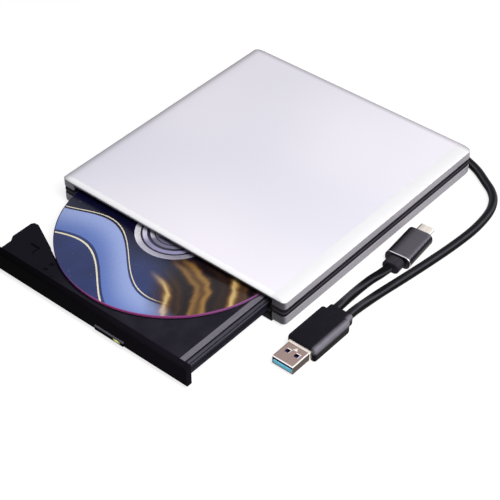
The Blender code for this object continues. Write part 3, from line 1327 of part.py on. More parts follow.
def plug_a_shell():
    """Return the wide plug's folded metal shell with its four square holes."""
    half = PLUG_A_SHELL_WIDTH / 2
    low = PLUG_A_AXIS_Z - PLUG_A_SHELL_HEIGHT / 2
    high = low + PLUG_A_SHELL_HEIGHT
    wall = PLUG_A_SHELL_WALL
    back = -SEAM_GAP
    shell = block((-half, back - PLUG_A_SHELL_LENGTH, low), (half, back, high))
    mouth = block(
        (-half + wall, back - PLUG_A_SHELL_LENGTH - OVERSHOOT, low + wall),
        (half - wall, back + OVERSHOOT, high - wall))
    shell = cut(shell, mouth)
    size = PLUG_A_HOLE / 2
    for side in (-1, 1):
        x = side * PLUG_A_HOLE_SPACING / 2
        y = back - PLUG_A_HOLE_BACK
        hole = block((x - size, y - size, low - OVERSHOOT), (x + size, y + size, high + OVERSHOOT))
        shell = cut(shell, hole)
    return shell


def plug_a_tongue():
    """Return the blue contact tongue in the wide plug's mouth."""
    wall = PLUG_A_SHELL_WALL + SEAM_GAP
    half = PLUG_A_SHELL_WIDTH / 2 - wall
    low = PLUG_A_AXIS_Z - PLUG_A_SHELL_HEIGHT / 2 + wall
    front = -SEAM_GAP - PLUG_A_SHELL_LENGTH + PLUG_A_TONGUE_RECESS
    return block((-half, front, low), (half, -SEAM_GAP, low + PLUG_A_TONGUE_HEIGHT))


def flat_oval(width, height, start, length, edge, middle_z):
    """Return a bar along y whose section is a rectangle with round corners."""
    section = round_rectangle(width / 2, height / 2, edge, 0.0, steps=4)
    return swept([(x, start, middle_z + z) for x, z, _ in section], (0.0, length, 0.0))


def plug_c_shell():
    """Return the small plug's seamless oval shell."""
    start = PLUG_C_BODY_LENGTH + SEAM_GAP
    edge = PLUG_C_SHELL_HEIGHT * 0.49
    wall = PLUG_C_SHELL_WALL
    shell = flat_oval(
        PLUG_C_SHELL_WIDTH, PLUG_C_SHELL_HEIGHT, start, PLUG_C_SHELL_LENGTH, edge, PLUG_C_AXIS_Z)
    mouth = flat_oval(
        PLUG_C_SHELL_WIDTH - 2 * wall, PLUG_C_SHELL_HEIGHT - 2 * wall, start - OVERSHOOT,
        PLUG_C_SHELL_LENGTH + 2 * OVERSHOOT, edge - wall, PLUG_C_AXIS_Z)
    return cut(shell, mouth)


def make_cords(corner, finishes):
    """Build the gland, both cords and both plugs."""
    piece("cord_gland", cord_gland(), finishes["rubber"], corner, (GLAND_X, 0.0, GLAND_Z))
    cord("main_cord", MAIN_CORD_ROUTE, finishes["cord"], corner)
    cord("short_cord", SHORT_CORD_ROUTE, finishes["cord"], corner)
    plug_a = frame_empty("plug_a_frame", (PLUG_A_X, PLUG_A_FRONT_Y, 0.0), parent=corner)
    piece("plug_a_body", plug_a_body(), finishes["cord"], plug_a)
    piece("plug_a_shell", plug_a_shell(), finishes["steel"], plug_a)
    piece("plug_a_tongue", plug_a_tongue(), finishes["blue"], plug_a)
    plug_c = frame_empty("plug_c_frame", (PLUG_C_X, PLUG_C_Y, 0.0), PLUG_C_TURN, corner)
    piece("plug_c_body", flat_oval(
        PLUG_C_BODY_WIDTH, PLUG_C_BODY_HEIGHT, 0.0, PLUG_C_BODY_LENGTH, PLUG_C_BODY_EDGE, PLUG_C_AXIS_Z),
        finishes["sleeve"], plug_c)
    piece("plug_c_collar", flat_oval(
        PLUG_C_COLLAR_WIDTH, PLUG_C_COLLAR_HEIGHT, -PLUG_C_COLLAR_LENGTH, PLUG_C_COLLAR_LENGTH - SEAM_GAP,
        PLUG_C_BODY_EDGE, PLUG_C_AXIS_Z), finishes["cord"], plug_c)
    piece("plug_c_shell", plug_c_shell(), finishes["steel"], plug_c)
    half = PLUG_C_TONGUE_WIDTH / 2
    low = PLUG_C_AXIS_Z - PLUG_C_TONGUE_HEIGHT / 2
    start = PLUG_C_BODY_LENGTH + SEAM_GAP
    piece("plug_c_tongue", block(
        (-half, start, low), (half, start + PLUG_C_SHELL_LENGTH - SEAM_GAP, low + PLUG_C_TONGUE_HEIGHT)),
        finishes["chip"], plug_c)


def all_finishes():
    """Return the materials by name."""
    return {
        "silver": finish("silver_paint", (0.76, 0.75, 0.79), 0.42, 0.35),
        "black": finish("black_plastic", (0.020, 0.020, 0.024), 0.55, 0.0),
        "gloss": finish("black_gloss", (0.008, 0.008, 0.010), 0.22, 0.0),
        "tray": finish("tray_plastic", (0.028, 0.026, 0.033), 0.62, 0.0),
        "rubber": finish("rubber", (0.025, 0.025, 0.027), 0.85, 0.0),
        "steel": finish("steel", (0.60, 0.60, 0.61), 0.35, 1.0),
        "cast": finish("cast_metal", (0.32, 0.32, 0.34), 0.55, 0.8),
        "board": finish("circuit_board", (0.02, 0.10, 0.06), 0.50, 0.0),
        "chip": finish("chip_resin", (0.03, 0.03, 0.03), 0.60, 0.0),
        "light": finish("light_window", (0.70, 0.80, 0.30), 0.25, 0.0),
        "disc": finish("disc_print", (0.10, 0.12, 0.32), 0.25, 0.0),
        "glass": finish("lens_glass", (0.35, 0.45, 0.60), 0.05, 0.0),
        "cord": finish("cord_jacket", (0.018, 0.017, 0.021), 0.50, 0.0),
        "sleeve": finish("sleeve_grey", (0.075, 0.068, 0.080), 0.45, 0.2),
        "blue": finish("tongue_blue", (0.06, 0.50, 0.80), 0.40, 0.0),
    }


def main():
    """Build the whole drive."""
    clear_scene()
    finishes = all_finishes()
    case = frame_empty("case_frame", (0.0, CASE_FRONT_Y, 0.0))
    tray_frame = frame_empty("tray_frame", (0.0, -TRAY_OUT, 0.0), parent=case)
    traverse = frame_empty("traverse_axis", (SPINDLE_X, SPINDLE_Y, 0.0), TRAVERSE_SLANT, tray_frame)
    make_case(case, finishes)
    make_chassis(case, finishes)
    make_boards(case, finishes)
    make_tray(tray_frame, finishes)
    make_traverse(traverse, finishes)
    make_cords(frame_empty("cord_frame", (HALF_WIDTH, CASE_DEPTH, 0.0), parent=case), finishes)
    bpy.context.view_layer.update()


main()
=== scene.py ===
"""A slim external optical drive, its tray part open with a disc in it.

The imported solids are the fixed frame. This script dresses them: it rounds the edges that show,
gives every piece its finish, and makes the disc, the two cords and the plug details anew.
"""

import json
import logging
import math
from dataclasses import dataclass, field
from enum import Enum
from typing import Optional, Sequence, Union

import bmesh
import bpy
from mathutils import Matrix, Vector

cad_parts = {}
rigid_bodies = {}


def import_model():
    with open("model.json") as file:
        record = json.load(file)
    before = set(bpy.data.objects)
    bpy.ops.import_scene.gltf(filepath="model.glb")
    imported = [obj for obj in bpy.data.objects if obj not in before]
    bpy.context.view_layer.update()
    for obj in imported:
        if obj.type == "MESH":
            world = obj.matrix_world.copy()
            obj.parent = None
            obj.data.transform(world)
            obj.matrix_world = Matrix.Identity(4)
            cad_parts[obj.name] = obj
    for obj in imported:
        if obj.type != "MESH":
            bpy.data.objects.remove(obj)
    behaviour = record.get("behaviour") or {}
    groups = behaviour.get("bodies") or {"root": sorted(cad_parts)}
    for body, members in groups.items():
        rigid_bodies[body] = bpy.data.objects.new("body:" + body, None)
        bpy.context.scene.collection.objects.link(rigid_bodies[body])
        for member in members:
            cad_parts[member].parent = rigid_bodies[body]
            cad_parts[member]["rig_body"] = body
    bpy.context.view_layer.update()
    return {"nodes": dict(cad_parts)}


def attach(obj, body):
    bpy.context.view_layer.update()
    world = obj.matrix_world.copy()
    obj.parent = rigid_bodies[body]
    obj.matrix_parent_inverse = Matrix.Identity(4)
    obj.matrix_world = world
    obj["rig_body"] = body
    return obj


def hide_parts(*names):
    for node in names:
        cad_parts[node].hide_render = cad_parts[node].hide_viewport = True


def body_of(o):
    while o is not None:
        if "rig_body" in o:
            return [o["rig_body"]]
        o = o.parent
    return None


for spare in list(bpy.data.objects):
    bpy.data.objects.remove(spare)
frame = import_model()

LOG = logging.getLogger("optical_drive")

Colour = tuple[float, float, float, float]
Point = tuple[float, float, float]
Span = tuple[float, float]
Stop = tuple[float, str]
Operand = Union["Field", float]

WHITE: Colour = (1.0, 1.0, 1.0, 1.0)
DISC_CENTRE: Point = (-0.0035, -0.0365, 0.0)
DISC_BOTTOM = 0.0108
SMALL_PLUG: Point = (0.0857, 0.0233, 0.0)
SMALL_PLUG_TURN = math.radians(5.5)
MILLIMETRE = 0.001
SHARP_ANGLE = math.radians(32.0)
TURNED_ANGLE = math.radians(40.0)
FLAT_ANGLE = math.radians(0.5)
NODE_WELD = 1e-6
LATHE_WELD = 1e-7

# The Mix node's colour sockets go by number, because its other sockets have the same names.
MIX_FIRST, MIX_SECOND, MIX_RESULT = 6, 7, 2


class Body(Enum):
    """The bodies that new pieces ride on."""

    CASE = "case"
    SPINDLE = "spindle"


class Slot(Enum):
    """The record's material slots."""

    SILVER_SHELL = "silver_shell"
    BLACK_PLASTIC = "black_plastic"
    RUBBER = "rubber"
    STEEL = "steel"
    CIRCUIT_BOARD = "circuit_board"
    CHIP_RESIN = "chip_resin"
    TRAY_PLASTIC = "tray_plastic"
    BLACK_SHEET = "black_sheet"
    BEZEL_GLOSS = "bezel_gloss"
    LIGHT_WINDOW = "light_window"
    DISC = "disc"
    CAST_METAL = "cast_metal"
    LENS_GLASS = "lens_glass"
    CORD_JACKET = "cord_jacket"
    PLUG_GRIP = "plug_grip"
    PLUG_METAL = "plug_metal"
    PLUG_SLEEVE = "plug_sleeve"
    TONGUE_BLUE = "tongue_blue"


def screen(code: str) -> Colour:
    """Turns a six-digit screen colour into a linear one.

    Args:
        code: The screen colour, two digits to a channel.

    Returns:
        The colour in linear light.
    """
    shares = [int(code[i:i + 2], 16) / 255.0 for i in (0, 2, 4)]
    light = [s / 12.92 if s <= 0.04045 else ((s + 0.055) / 1.055) ** 2.4 for s in shares]
    return (light[0], light[1], light[2], 1.0)


class Field:
    """An output socket of a node tree, with Python's operators for shader maths."""

    def __init__(self, recipe: "Recipe", socket: bpy.types.NodeSocket) -> None:
        """Keeps the socket and the recipe that its nodes go in."""
        self.recipe = recipe
        self.socket = socket

    def _math(self, operation: str, *operands: Operand) -> "Field":
        """Adds one Math node.

        Args:
            operation: The node's operation.
            operands: Its inputs in order.

        Returns:
            The node's result.
        """
        node = self.recipe.node(
            "ShaderNodeMath", {"operation": operation}, dict(enumerate(operands)))
        return self.recipe.out(node)

    def __add__(self, other: Operand) -> "Field":
        """Self plus other."""
        return self._math("ADD", self, other)

    def __radd__(self, other: Operand) -> "Field":
        """Other plus self."""
        return self._math("ADD", other, self)

    def __sub__(self, other: Operand) -> "Field":
        """Self less other."""
        return self._math("SUBTRACT", self, other)

    def __rsub__(self, other: Operand) -> "Field":
        """Other less self."""
        return self._math("SUBTRACT", other, self)

    def __mul__(self, other: Operand) -> "Field":
        """Self times other."""
        return self._math("MULTIPLY", self, other)

    def __rmul__(self, other: Operand) -> "Field":
        """Other times self."""
        return self._math("MULTIPLY", other, self)

    def __truediv__(self, other: Operand) -> "Field":
        """Self over other."""
        return self._math("DIVIDE", self, other)

    def __rtruediv__(self, other: Operand) -> "Field":
        """Other over self."""
        return self._math("DIVIDE", other, self)

    def sine(self) -> "Field":
        """The sine of self, in radians."""
        return self._math("SINE", self)

    def angle(self, across: Operand) -> "Field":
        """The angle of the point (across, self)."""
        return self._math("ARCTAN2", self, across)

    def root(self) -> "Field":
        """The square root of self."""
        return self._math("SQRT", self)

    def most(self, other: Operand) -> "Field":
        """The greater of self and other."""
        return self._math("MAXIMUM", self, other)

    def spread(self, low: float, high: float) -> "Field":
        """Self, from 0 to 1, spread from low to high."""
        return self * (high - low) + low

    def rise(self, low: float, high: float) -> "Field":
        """A smooth step of self.

        Args:
            low: Where it leaves 0.
            high: Where it reaches 1, below low for a step down.

        Returns:
            The step, from 0 to 1.
        """
        node = self.recipe.node(
            "ShaderNodeMapRange", {"interpolation_type": "SMOOTHSTEP"},
            {"Value": self, "From Min": low, "From Max": high})
        return self.recipe.out(node)

    def band(self, low: float, high: float, soft: float) -> "Field":
        """A stripe of self.

        Args:
            low: Where the stripe starts.
            high: Where it ends.
            soft: How far its edges fade.

        Returns:
            1 inside the stripe, 0 outside it.
        """
        return self.rise(low - soft, low + soft) * self.rise(high + soft, high - soft)


class Recipe:
    """One node tree, with the patterns that finishes are made from."""

    def __init__(self, tree: bpy.types.NodeTree) -> None:
        """Takes the tree over and empties it."""
        self.tree = tree
        tree.nodes.clear()

    def node(self, kind: str, settings: Optional[dict] = None,
             sockets: Optional[dict] = None) -> bpy.types.Node:
        """Makes a node.

        Args:
            kind: The node's type.
            settings: Its settings, which are set first. Stops are those of a colour ramp.
            sockets: Values and links of its sockets, by name or number.

        Returns:
            The node.
        """
        made = self.tree.nodes.new(kind)
        for key, value in (settings or {}).items():
            if key == "stops":
                elements = made.color_ramp.elements
                elements.remove(elements[1])
                elements[0].position, elements[0].color = value[0]
                for position, colour in value[1:]:
                    elements.new(position).color = colour
            else:
                setattr(made, key, value)
        for key, value in (sockets or {}).items():
            if isinstance(value, Field):
                self.tree.links.new(value.socket, made.inputs[key])
            else:
                made.inputs[key].default_value = value
        return made

    def out(self, node: bpy.types.Node, key: Union[int, str] = 0) -> Field:
        """An output socket of a node."""
        return Field(self, node.outputs[key])

    def place(self, centre: Point = (0.0, 0.0, 0.0), turn: float = 0.0,
              stretch: Point = (1.0, 1.0, 1.0)) -> Field:
        """Object coordinates in a frame of the pattern's own.

        Args:
            centre: The frame's origin, in metres.
            turn: Its turn about the upright axis, in radians.
            stretch: How many times longer the pattern is along each axis.

        Returns:
            The coordinates.
        """
        coordinates = self.out(self.node("ShaderNodeTexCoord"), "Object")
        mapping = self.node(
            "ShaderNodeMapping", {"vector_type": "TEXTURE"},
            {"Vector": coordinates, "Location": centre, "Rotation": (0.0, 0.0, turn),
             "Scale": stretch})
        return self.out(mapping)

    def split(self, vector: Field) -> tuple[Field, Field, Field]:
        """The three parts of a vector."""
        node = self.node("ShaderNodeSeparateXYZ", None, {0: vector})
        return self.out(node, 0), self.out(node, 1), self.out(node, 2)

    def noise(self, vector: Field, scale: float, detail: float = 2.0,
              distortion: float = 0.0) -> Field:
        """Smooth noise.

        Args:
            vector: Its coordinates.
            scale: Its waves to a metre.
            detail: Its finer layers.
            distortion: How far it is swirled.

        Returns:
            The noise, about 0.5.
        """
        node = self.node(
            "ShaderNodeTexNoise", {"noise_dimensions": "3D"},
            {"Vector": vector, "Scale": scale, "Detail": detail, "Distortion": distortion})
        return self.out(node)

    def cells(self, vector: Field, scale: float) -> Field:
        """Scattered points.

        Args:
            vector: Their coordinates.
            scale: How many of them to a metre.

        Returns:
            The distance to the nearest point, in parts of their spacing.
        """
        node = self.node(
            "ShaderNodeTexVoronoi", {"voronoi_dimensions": "3D", "feature": "F1"},
            {"Vector": vector, "Scale": scale})
        return self.out(node, "Distance")

    def mix(self, factor: Operand, low: Union[Field, Colour], high: Union[Field, Colour]) -> Field:
        """Mixes two colours.

        Args:
            factor: How much of the second.
            low: The first colour.
            high: The second colour.

        Returns:
            The mixed colour.
        """
        node = self.node(
            "ShaderNodeMix", {"data_type": "RGBA"}, {0: factor, MIX_FIRST: low, MIX_SECOND: high})
        return self.out(node, MIX_RESULT)

    def ramp(self, value: Field, stops: Sequence[Stop]) -> Field:
        """A ramp of screen colours over a value."""
        colours = [(position, screen(code)) for position, code in stops]
        return self.out(self.node("ShaderNodeValToRGB", {"stops": colours}, {0: value}))

    def bump(self, height: Field, strength: float, depth: float) -> Field:
        """A normal from a height.

        Args:
            height: The height, from 0 to 1.
            strength: How much of it shows.
            depth: What a height of 1 stands for, in metres.

        Returns:
            The normal.
        """
        node = self.node(
            "ShaderNodeBump", None, {"Strength": strength, "Distance": depth, "Height": height})
        return self.out(node)

    def surface(self, sockets: dict) -> None:
        """Puts a Principled shader with these sockets on the output."""
        shader = self.node("ShaderNodeBsdfPrincipled", None, sockets)
        self.node("ShaderNodeOutputMaterial", None, {"Surface": self.out(shader)})


@dataclass(frozen=True)
class Finish:
    """A surface finish, the base of all others.

    Attributes:
        name: Its material's name.
        colour: Its main screen colour.
        roughness: Its roughness, before its patterns change it.
    """

    name: str
    colour: str
    roughness: float

    def material(self) -> bpy.types.Material:
        """Makes the material, or gives the one made before.

        Returns:
            The material.
        """
        made = bpy.data.materials.get(self.name)
        if made is None:
            made = bpy.data.materials.new(self.name)
            made.use_nodes = True
            self.weave(Recipe(made.node_tree))
        return made

    def weave(self, recipe: Recipe) -> None:
        """Writes the finish's node tree."""
        raise NotImplementedError

    def gloss(self, patterns: Sequence[Field], shares: Sequence[float]) -> Operand:
        """Varies the roughness about its middle.

        Args:
            patterns: Patterns about 0.5.
            shares: How far each of them changes the roughness.

        Returns:
            The roughness.
        """
        total: Operand = self.roughness
        for pattern, share in zip(patterns, shares):
            total = (pattern - 0.5) * share + total
        return total


@dataclass(frozen=True)
class SatinPaint(Finish):
    """Silver paint with fine flake, painted highlights on the front and right rolls and painted
    shade on the sides.

    Attributes:
        cool: Screen colour where the paint is cooler.
        rolls: Screen colours of the painted highlights on the right and the front roll.
        side: Screen colour of the painted shade on the sides, which reaches over the left and back
            edges.
        posts: Screen colours of the painted shade on the left and the right front post.
        post_span: Where the left post's colour ends and the right one's is full, in metres.
        side_top: Heights where the sides' colour starts and is full, in metres.
        left: Where the sides' colour starts and is full at the left edge, in metres.
        back: Where it starts and is full at the back edge, in metres.
        right: Where the right roll starts and is full, in metres.
        front: Where the front roll starts and is full, in metres.
        post_face: Where the front posts' faces start and are full, in metres.
        drift: Waves of the drift of colour to a metre.
        drift_step: Noise where the main colour starts and is full.
        flake: Flakes to a metre.
        flake_step: Noise where a flake starts and is full.
        glint: How much white a flake shows, as a painted glint.
        handling: Waves of the handled patches to a metre.
        gloss_shares: How far flakes and handling change the roughness.
        peel: Waves of the orange peel to a metre.
        peel_depth: Their height, in metres.
        index: Refractive index of the binder.
        coat: Weight of the clear coat.
        coat_roughness: Roughness of the clear coat.
    """

    cool: str = "dcdbe6"
    rolls: tuple[str, str] = ("e2e1e4", "f0eff2")
    side: str = "a39ea6"
    posts: tuple[str, str] = ("807d86", "45424a")
    post_span: Span = (-0.06, 0.06)
    side_top: Span = (0.0163, 0.0158)
    left: Span = (-0.0650, -0.0728)
    back: Span = (0.1006, 0.1052)
    right: Span = (0.0640, 0.0656)
    front: Span = (-0.0430, -0.0439)
    post_face: Span = (-0.0442, -0.0461)
    drift: float = 9.0
    drift_step: Span = (0.3, 0.7)
    flake: float = 9000.0
    flake_step: Span = (0.5, 0.75)
    glint: float = 0.1
    handling: float = 70.0
    gloss_shares: Span = (0.12, 0.08)
    peel: float = 620.0
    peel_depth: float = 0.00003
    index: float = 1.25
    coat: float = 0.04
    coat_roughness: float = 0.2

    def weave(self, recipe: Recipe) -> None:
        """Writes flake with painted glints, drift of colour, painted highlights on the rolls,
        painted shade on the sides and posts, and a faint orange peel.

        Args:
            recipe: The tree.
        """
        spot = recipe.place()
        drift = recipe.noise(spot, self.drift, detail=1.0)
        glint = recipe.noise(spot, self.flake, detail=1.0)
        handled = recipe.noise(spot, self.handling, detail=4.0)
        x, y, z = recipe.split(spot)
        low = z.rise(*self.side_top)
        left = x.rise(*self.left)
        posts = y.rise(*self.post_face) * low
        colour = recipe.mix(
            drift.rise(*self.drift_step), screen(self.cool), screen(self.colour))
        # Painted highlights on the front and right rolls.
        colour = recipe.mix(y.rise(*self.front), colour, screen(self.rolls[1]))
        colour = recipe.mix(x.rise(*self.right), colour, screen(self.rolls[0]))
        # Painted shade on the sides and over the left and back edges.
        sides = low.most(left * left).most(y.rise(*self.back))
        colour = recipe.mix(sides, colour, screen(self.side))
        # Painted shade on the faces of the front posts.
        post = recipe.mix(x.rise(*self.post_span), screen(self.posts[0]), screen(self.posts[1]))
        colour = recipe.mix(posts, colour, post)
        # Painted white glints on the flakes.
        colour = recipe.mix(glint.rise(*self.flake_step) * self.glint, colour, WHITE)
        peel = recipe.noise(spot, self.peel)
        recipe.surface({
            "Base Color": colour, "Roughness": self.gloss((glint, handled), self.gloss_shares),
            "Metallic": 0.0, "IOR": self.index, "Coat Weight": self.coat,
            "Coat Roughness": self.coat_roughness,
            "Normal": recipe.bump(peel, strength=0.08, depth=self.peel_depth)})


@dataclass(frozen=True)
class MouldedPlastic(Finish):
    """Moulded plastic with a fine spark-eroded grain and patches rubbed smoother.

    Attributes:
        rubbed: Screen colour where it is rubbed.
        grain: Grains to a metre.
        fine: How many of the finer grains, in parts of the grains.
        heights: Heights of the grain and the finer grain, in parts of the relief.
        relief: Height of both, in metres.
        patches: Waves of the rubbed patches to a metre.
        patch_step: Noise where a patch starts and is full.
        gloss_shares: How far patches and grain change the roughness.
        index: Refractive index, low where soot in the plastic takes the gloss.
    """

    rubbed: str = "2a282e"
    grain: float = 2600.0
    fine: float = 0.6
    heights: Span = (0.7, 0.5)
    relief: float = 0.00003
    patches: float = 85.0
    patch_step: Span = (0.35, 0.75)
    gloss_shares: Span = (0.16, 0.1)
    index: float = 1.08

    def weave(self, recipe: Recipe) -> None:
        """Writes the grain and the rubbed patches.

        Args:
            recipe: The tree.
        """
        spot = recipe.place()
        grain = recipe.noise(spot, self.grain)
        patch = recipe.noise(spot, self.patches, detail=3.0)
        fine = recipe.cells(spot, self.grain * self.fine)
        height = grain * self.heights[0] + fine * self.heights[1]
        colour = recipe.mix(
            patch.rise(*self.patch_step), screen(self.colour), screen(self.rubbed))
        recipe.surface({
            "Base Color": self.tone(recipe, colour), "IOR": self.index,
            "Roughness": self.gloss((patch, grain), self.gloss_shares),
            "Normal": recipe.bump(height, strength=0.35, depth=self.relief)})

    def tone(self, recipe: Recipe, colour: Field) -> Field:
        """The colour as it is, which a finish of this kind may change in places."""
        return colour


@dataclass(frozen=True)
class TrayPlastic(MouldedPlastic):
    """The tray's plastic, with painted highlights on the rim and the steps beside it.

    Attributes:
        rim: Screen colour of the painted highlight on the rim's top.
        step: Screen colour of the painted highlights on the steps beside it.
        rim_sides: Where the rim starts and ends across the tray, in metres.
        rim_low: Height above which the rim is pale, in metres.
        step_tops: Heights of the steps, in metres.
        wing: Screen colour towards the wing, darker than the rest.
        wing_side: Where that colour starts and is full across the tray, in metres.
        wing_share: How much of that colour shows.
        fade: How far the edges of the paler places fade, in metres.
        step_face: How far a step's paler place reaches below and above it, in metres.
        highlight_breakup: Waves of the noise that breaks up the painted highlights, to a metre.
        highlight_breakup_along: How many times longer that noise is along the tray.
        highlight_breakup_share: How much of the painted highlights shows where that noise is lowest
            and highest.
    """

    rim: str = "726f78"
    step: str = "4b4952"
    rim_sides: Span = (0.0560, 0.0591)
    rim_low: float = 0.0118
    step_tops: Span = (0.0104, 0.0093)
    wing: str = "100f15"
    wing_side: Span = (0.0100, -0.0400)
    wing_share: float = 0.85
    fade: float = 0.0001
    step_face: Span = (0.0002, 0.0001)
    highlight_breakup: float = 900.0
    highlight_breakup_along: float = 12.0
    highlight_breakup_share: Span = (0.65, 1.15)

    def tone(self, recipe: Recipe, colour: Field) -> Field:
        """Lays the darker wing and the painted highlights on the rim and steps over the plastic.

        Args:
            recipe: The tree.
            colour: The colour below.

        Returns:
            The mixed colour.
        """
        x, _, z = recipe.split(recipe.place())
        wing = x.rise(*self.wing_side) * self.wing_share
        colour = recipe.mix(wing, colour, screen(self.wing))
        # Noise that breaks up the painted highlights.
        drawn = recipe.place(stretch=(1.0, self.highlight_breakup_along, 1.0))
        highlight_breakup = recipe.noise(drawn, self.highlight_breakup).spread(*self.highlight_breakup_share)
        start, end = self.rim_sides
        rim = x.rise(start - self.fade, start + self.fade) * z.rise(
            self.rim_low - self.fade, self.rim_low + self.fade)
        # Painted highlights on the rim's top and on the steps beside it.
        colour = recipe.mix(rim * highlight_breakup, colour, screen(self.rim))
        beside = x.rise(end - self.fade, end + self.fade)
        below, above = self.step_face
        for top in self.step_tops:
            face = z.band(top - below, top + above, self.fade / 2.0)
            colour = recipe.mix(face * beside * highlight_breakup, colour, screen(self.step))
        return colour


@dataclass(frozen=True)
class BandPlastic(MouldedPlastic):
    """The band's plastic, with a painted grey highlight along its bead.

    Attributes:
        bead: Screen colour of the painted highlight on the bead.
        bead_sides: Heights where the bead starts and ends, in metres.
        fade: How far the bead's edges fade, in metres.
        highlight_breakup: Waves of the noise that breaks up the painted highlight, to a metre.
        highlight_breakup_share: How much of the bead's painted highlight shows where that noise is
            lowest and highest.
    """

    bead: str = "48454c"
    bead_sides: Span = (0.0090, 0.0100)
    fade: float = 0.0002
    highlight_breakup: float = 160.0
    highlight_breakup_share: Span = (0.6, 1.1)

    def tone(self, recipe: Recipe, colour: Field) -> Field:
        """Lays the painted grey highlight along the bead over the plastic.

        Args:
            recipe: The tree.
            colour: The colour below.

        Returns:
            The mixed colour.
        """
        spot = recipe.place()
        _, _, z = recipe.split(spot)
        # Noise that breaks up the painted highlight on the bead.
        highlight_breakup = recipe.noise(spot, self.highlight_breakup, detail=3.0).spread(*self.highlight_breakup_share)
        # Painted grey highlight along the bead.
        return recipe.mix(z.band(*self.bead_sides, self.fade) * highlight_breakup, colour, screen(self.bead))


@dataclass(frozen=True)
class GripPlastic(MouldedPlastic):
    """The grip's soft plastic, with a painted sheen along its upper right edges and painted shade
    under them.

    Attributes:
        sheen: Screen colour of the painted sheen on the edges.
        painted_shade: Screen colour of the painted shade on the right side under them.
        painted_shade_top: Heights where the painted shade starts and is full, in metres.
        grip_edge: Where the grip's painted sheen starts and is full across the plug, in metres.
        neck_edge: Where the neck's painted sheen starts and is full across the plug, in metres.
        neck: Where the neck starts and is full along the plug, in metres.
        low: Heights where the painted sheen starts and is full, in metres.
        highlight_breakup: Waves of the noise that breaks up the painted sheen, to a metre.
        highlight_breakup_share: How much of the painted sheen shows where that noise is lowest and
            highest.
    """

    sheen: str = "85818c"
    painted_shade: str = "050506"
    painted_shade_top: Span = (0.0056, 0.0036)
    grip_edge: Span = (0.0940, 0.0968)
    neck_edge: Span = (0.0928, 0.0952)
    neck: Span = (-0.0282, -0.0280)
    low: Span = (0.0042, 0.0068)
    highlight_breakup: float = 240.0
    highlight_breakup_share: Span = (0.6, 1.1)

    def tone(self, recipe: Recipe, colour: Field) -> Field:
        """Lays the painted shade and the painted sheen over the plastic.

        Args:
            recipe: The tree.
            colour: The colour below.

        Returns:
            The mixed colour.
        """
        spot = recipe.place()
        x, y, z = recipe.split(spot)
        highlight_breakup = recipe.noise(spot, self.highlight_breakup, detail=3.0).spread(*self.highlight_breakup_share)
        neck = y.rise(*self.neck) * x.rise(*self.neck_edge)
        beside = x.rise(*self.grip_edge).most(neck)
        # Painted shade on the right side under the edges.
        colour = recipe.mix(beside * z.rise(*self.painted_shade_top), colour, screen(self.painted_shade))
        # Painted sheen along the upper right edges.
        return recipe.mix(beside * z.rise(*self.low) * highlight_breakup, colour, screen(self.sheen))


@dataclass(frozen=True)
class CordJacket(MouldedPlastic):
    """The cords' jacket, with a painted highlight streak along both flanks.

    Attributes:
        streak: Screen colour of the painted highlight on the flanks.
        flank: Heights where the streak starts and ends, in metres.
        fade: How far its edges fade, in metres.
        lift: How much higher it lies at the wide plug, in metres.
        lift_from: Where the cords start to rise to the wide plug and have risen, in metres.
        highlight_breakup: Waves of the noise that breaks up the painted highlight, to a metre.
        highlight_breakup_share: How much of the painted highlight shows where that noise is lowest
            and highest.
    """

    streak: str = "4c4a51"
    flank: Span = (0.0039, 0.0044)
    fade: float = 0.0004
    lift: float = 0.0018
    lift_from: Span = (0.0030, -0.0220)
    highlight_breakup: float = 130.0
    highlight_breakup_share: Span = (0.6, 1.2)

    def tone(self, recipe: Recipe, colour: Field) -> Field:
        """Lays the painted highlight streaks over the jacket.

        Args:
            recipe: The tree.
            colour: The colour below.

        Returns:
            The mixed colour.
        """
        spot = recipe.place()
        _, y, z = recipe.split(spot)
        highlight_breakup = recipe.noise(spot, self.highlight_breakup, detail=3.0).spread(*self.highlight_breakup_share)
        height = z - y.rise(*self.lift_from) * self.lift
        # Painted highlight streaks along both flanks.
        return recipe.mix(height.band(*self.flank, self.fade) * highlight_breakup, colour, screen(self.streak))


@dataclass(frozen=True)
class TonguePlastic(MouldedPlastic):
    """The wide plug's tongue, bright at its front face, with painted deep blue shade behind it.

    Attributes:
        deep: Screen colour of the painted shade behind the front face.
        front: Where the bright front ends and the deep blue is full, in metres.
    """

    deep: str = "1c2c86"
    front: Span = (-0.0672, -0.0669)

    def tone(self, recipe: Recipe, colour: Field) -> Field:
        """Lays the painted deep blue shade over all but the front."""
        _, y, _ = recipe.split(recipe.place())
        # Painted shade behind the front face.
        return recipe.mix(y.rise(*self.front), colour, screen(self.deep))


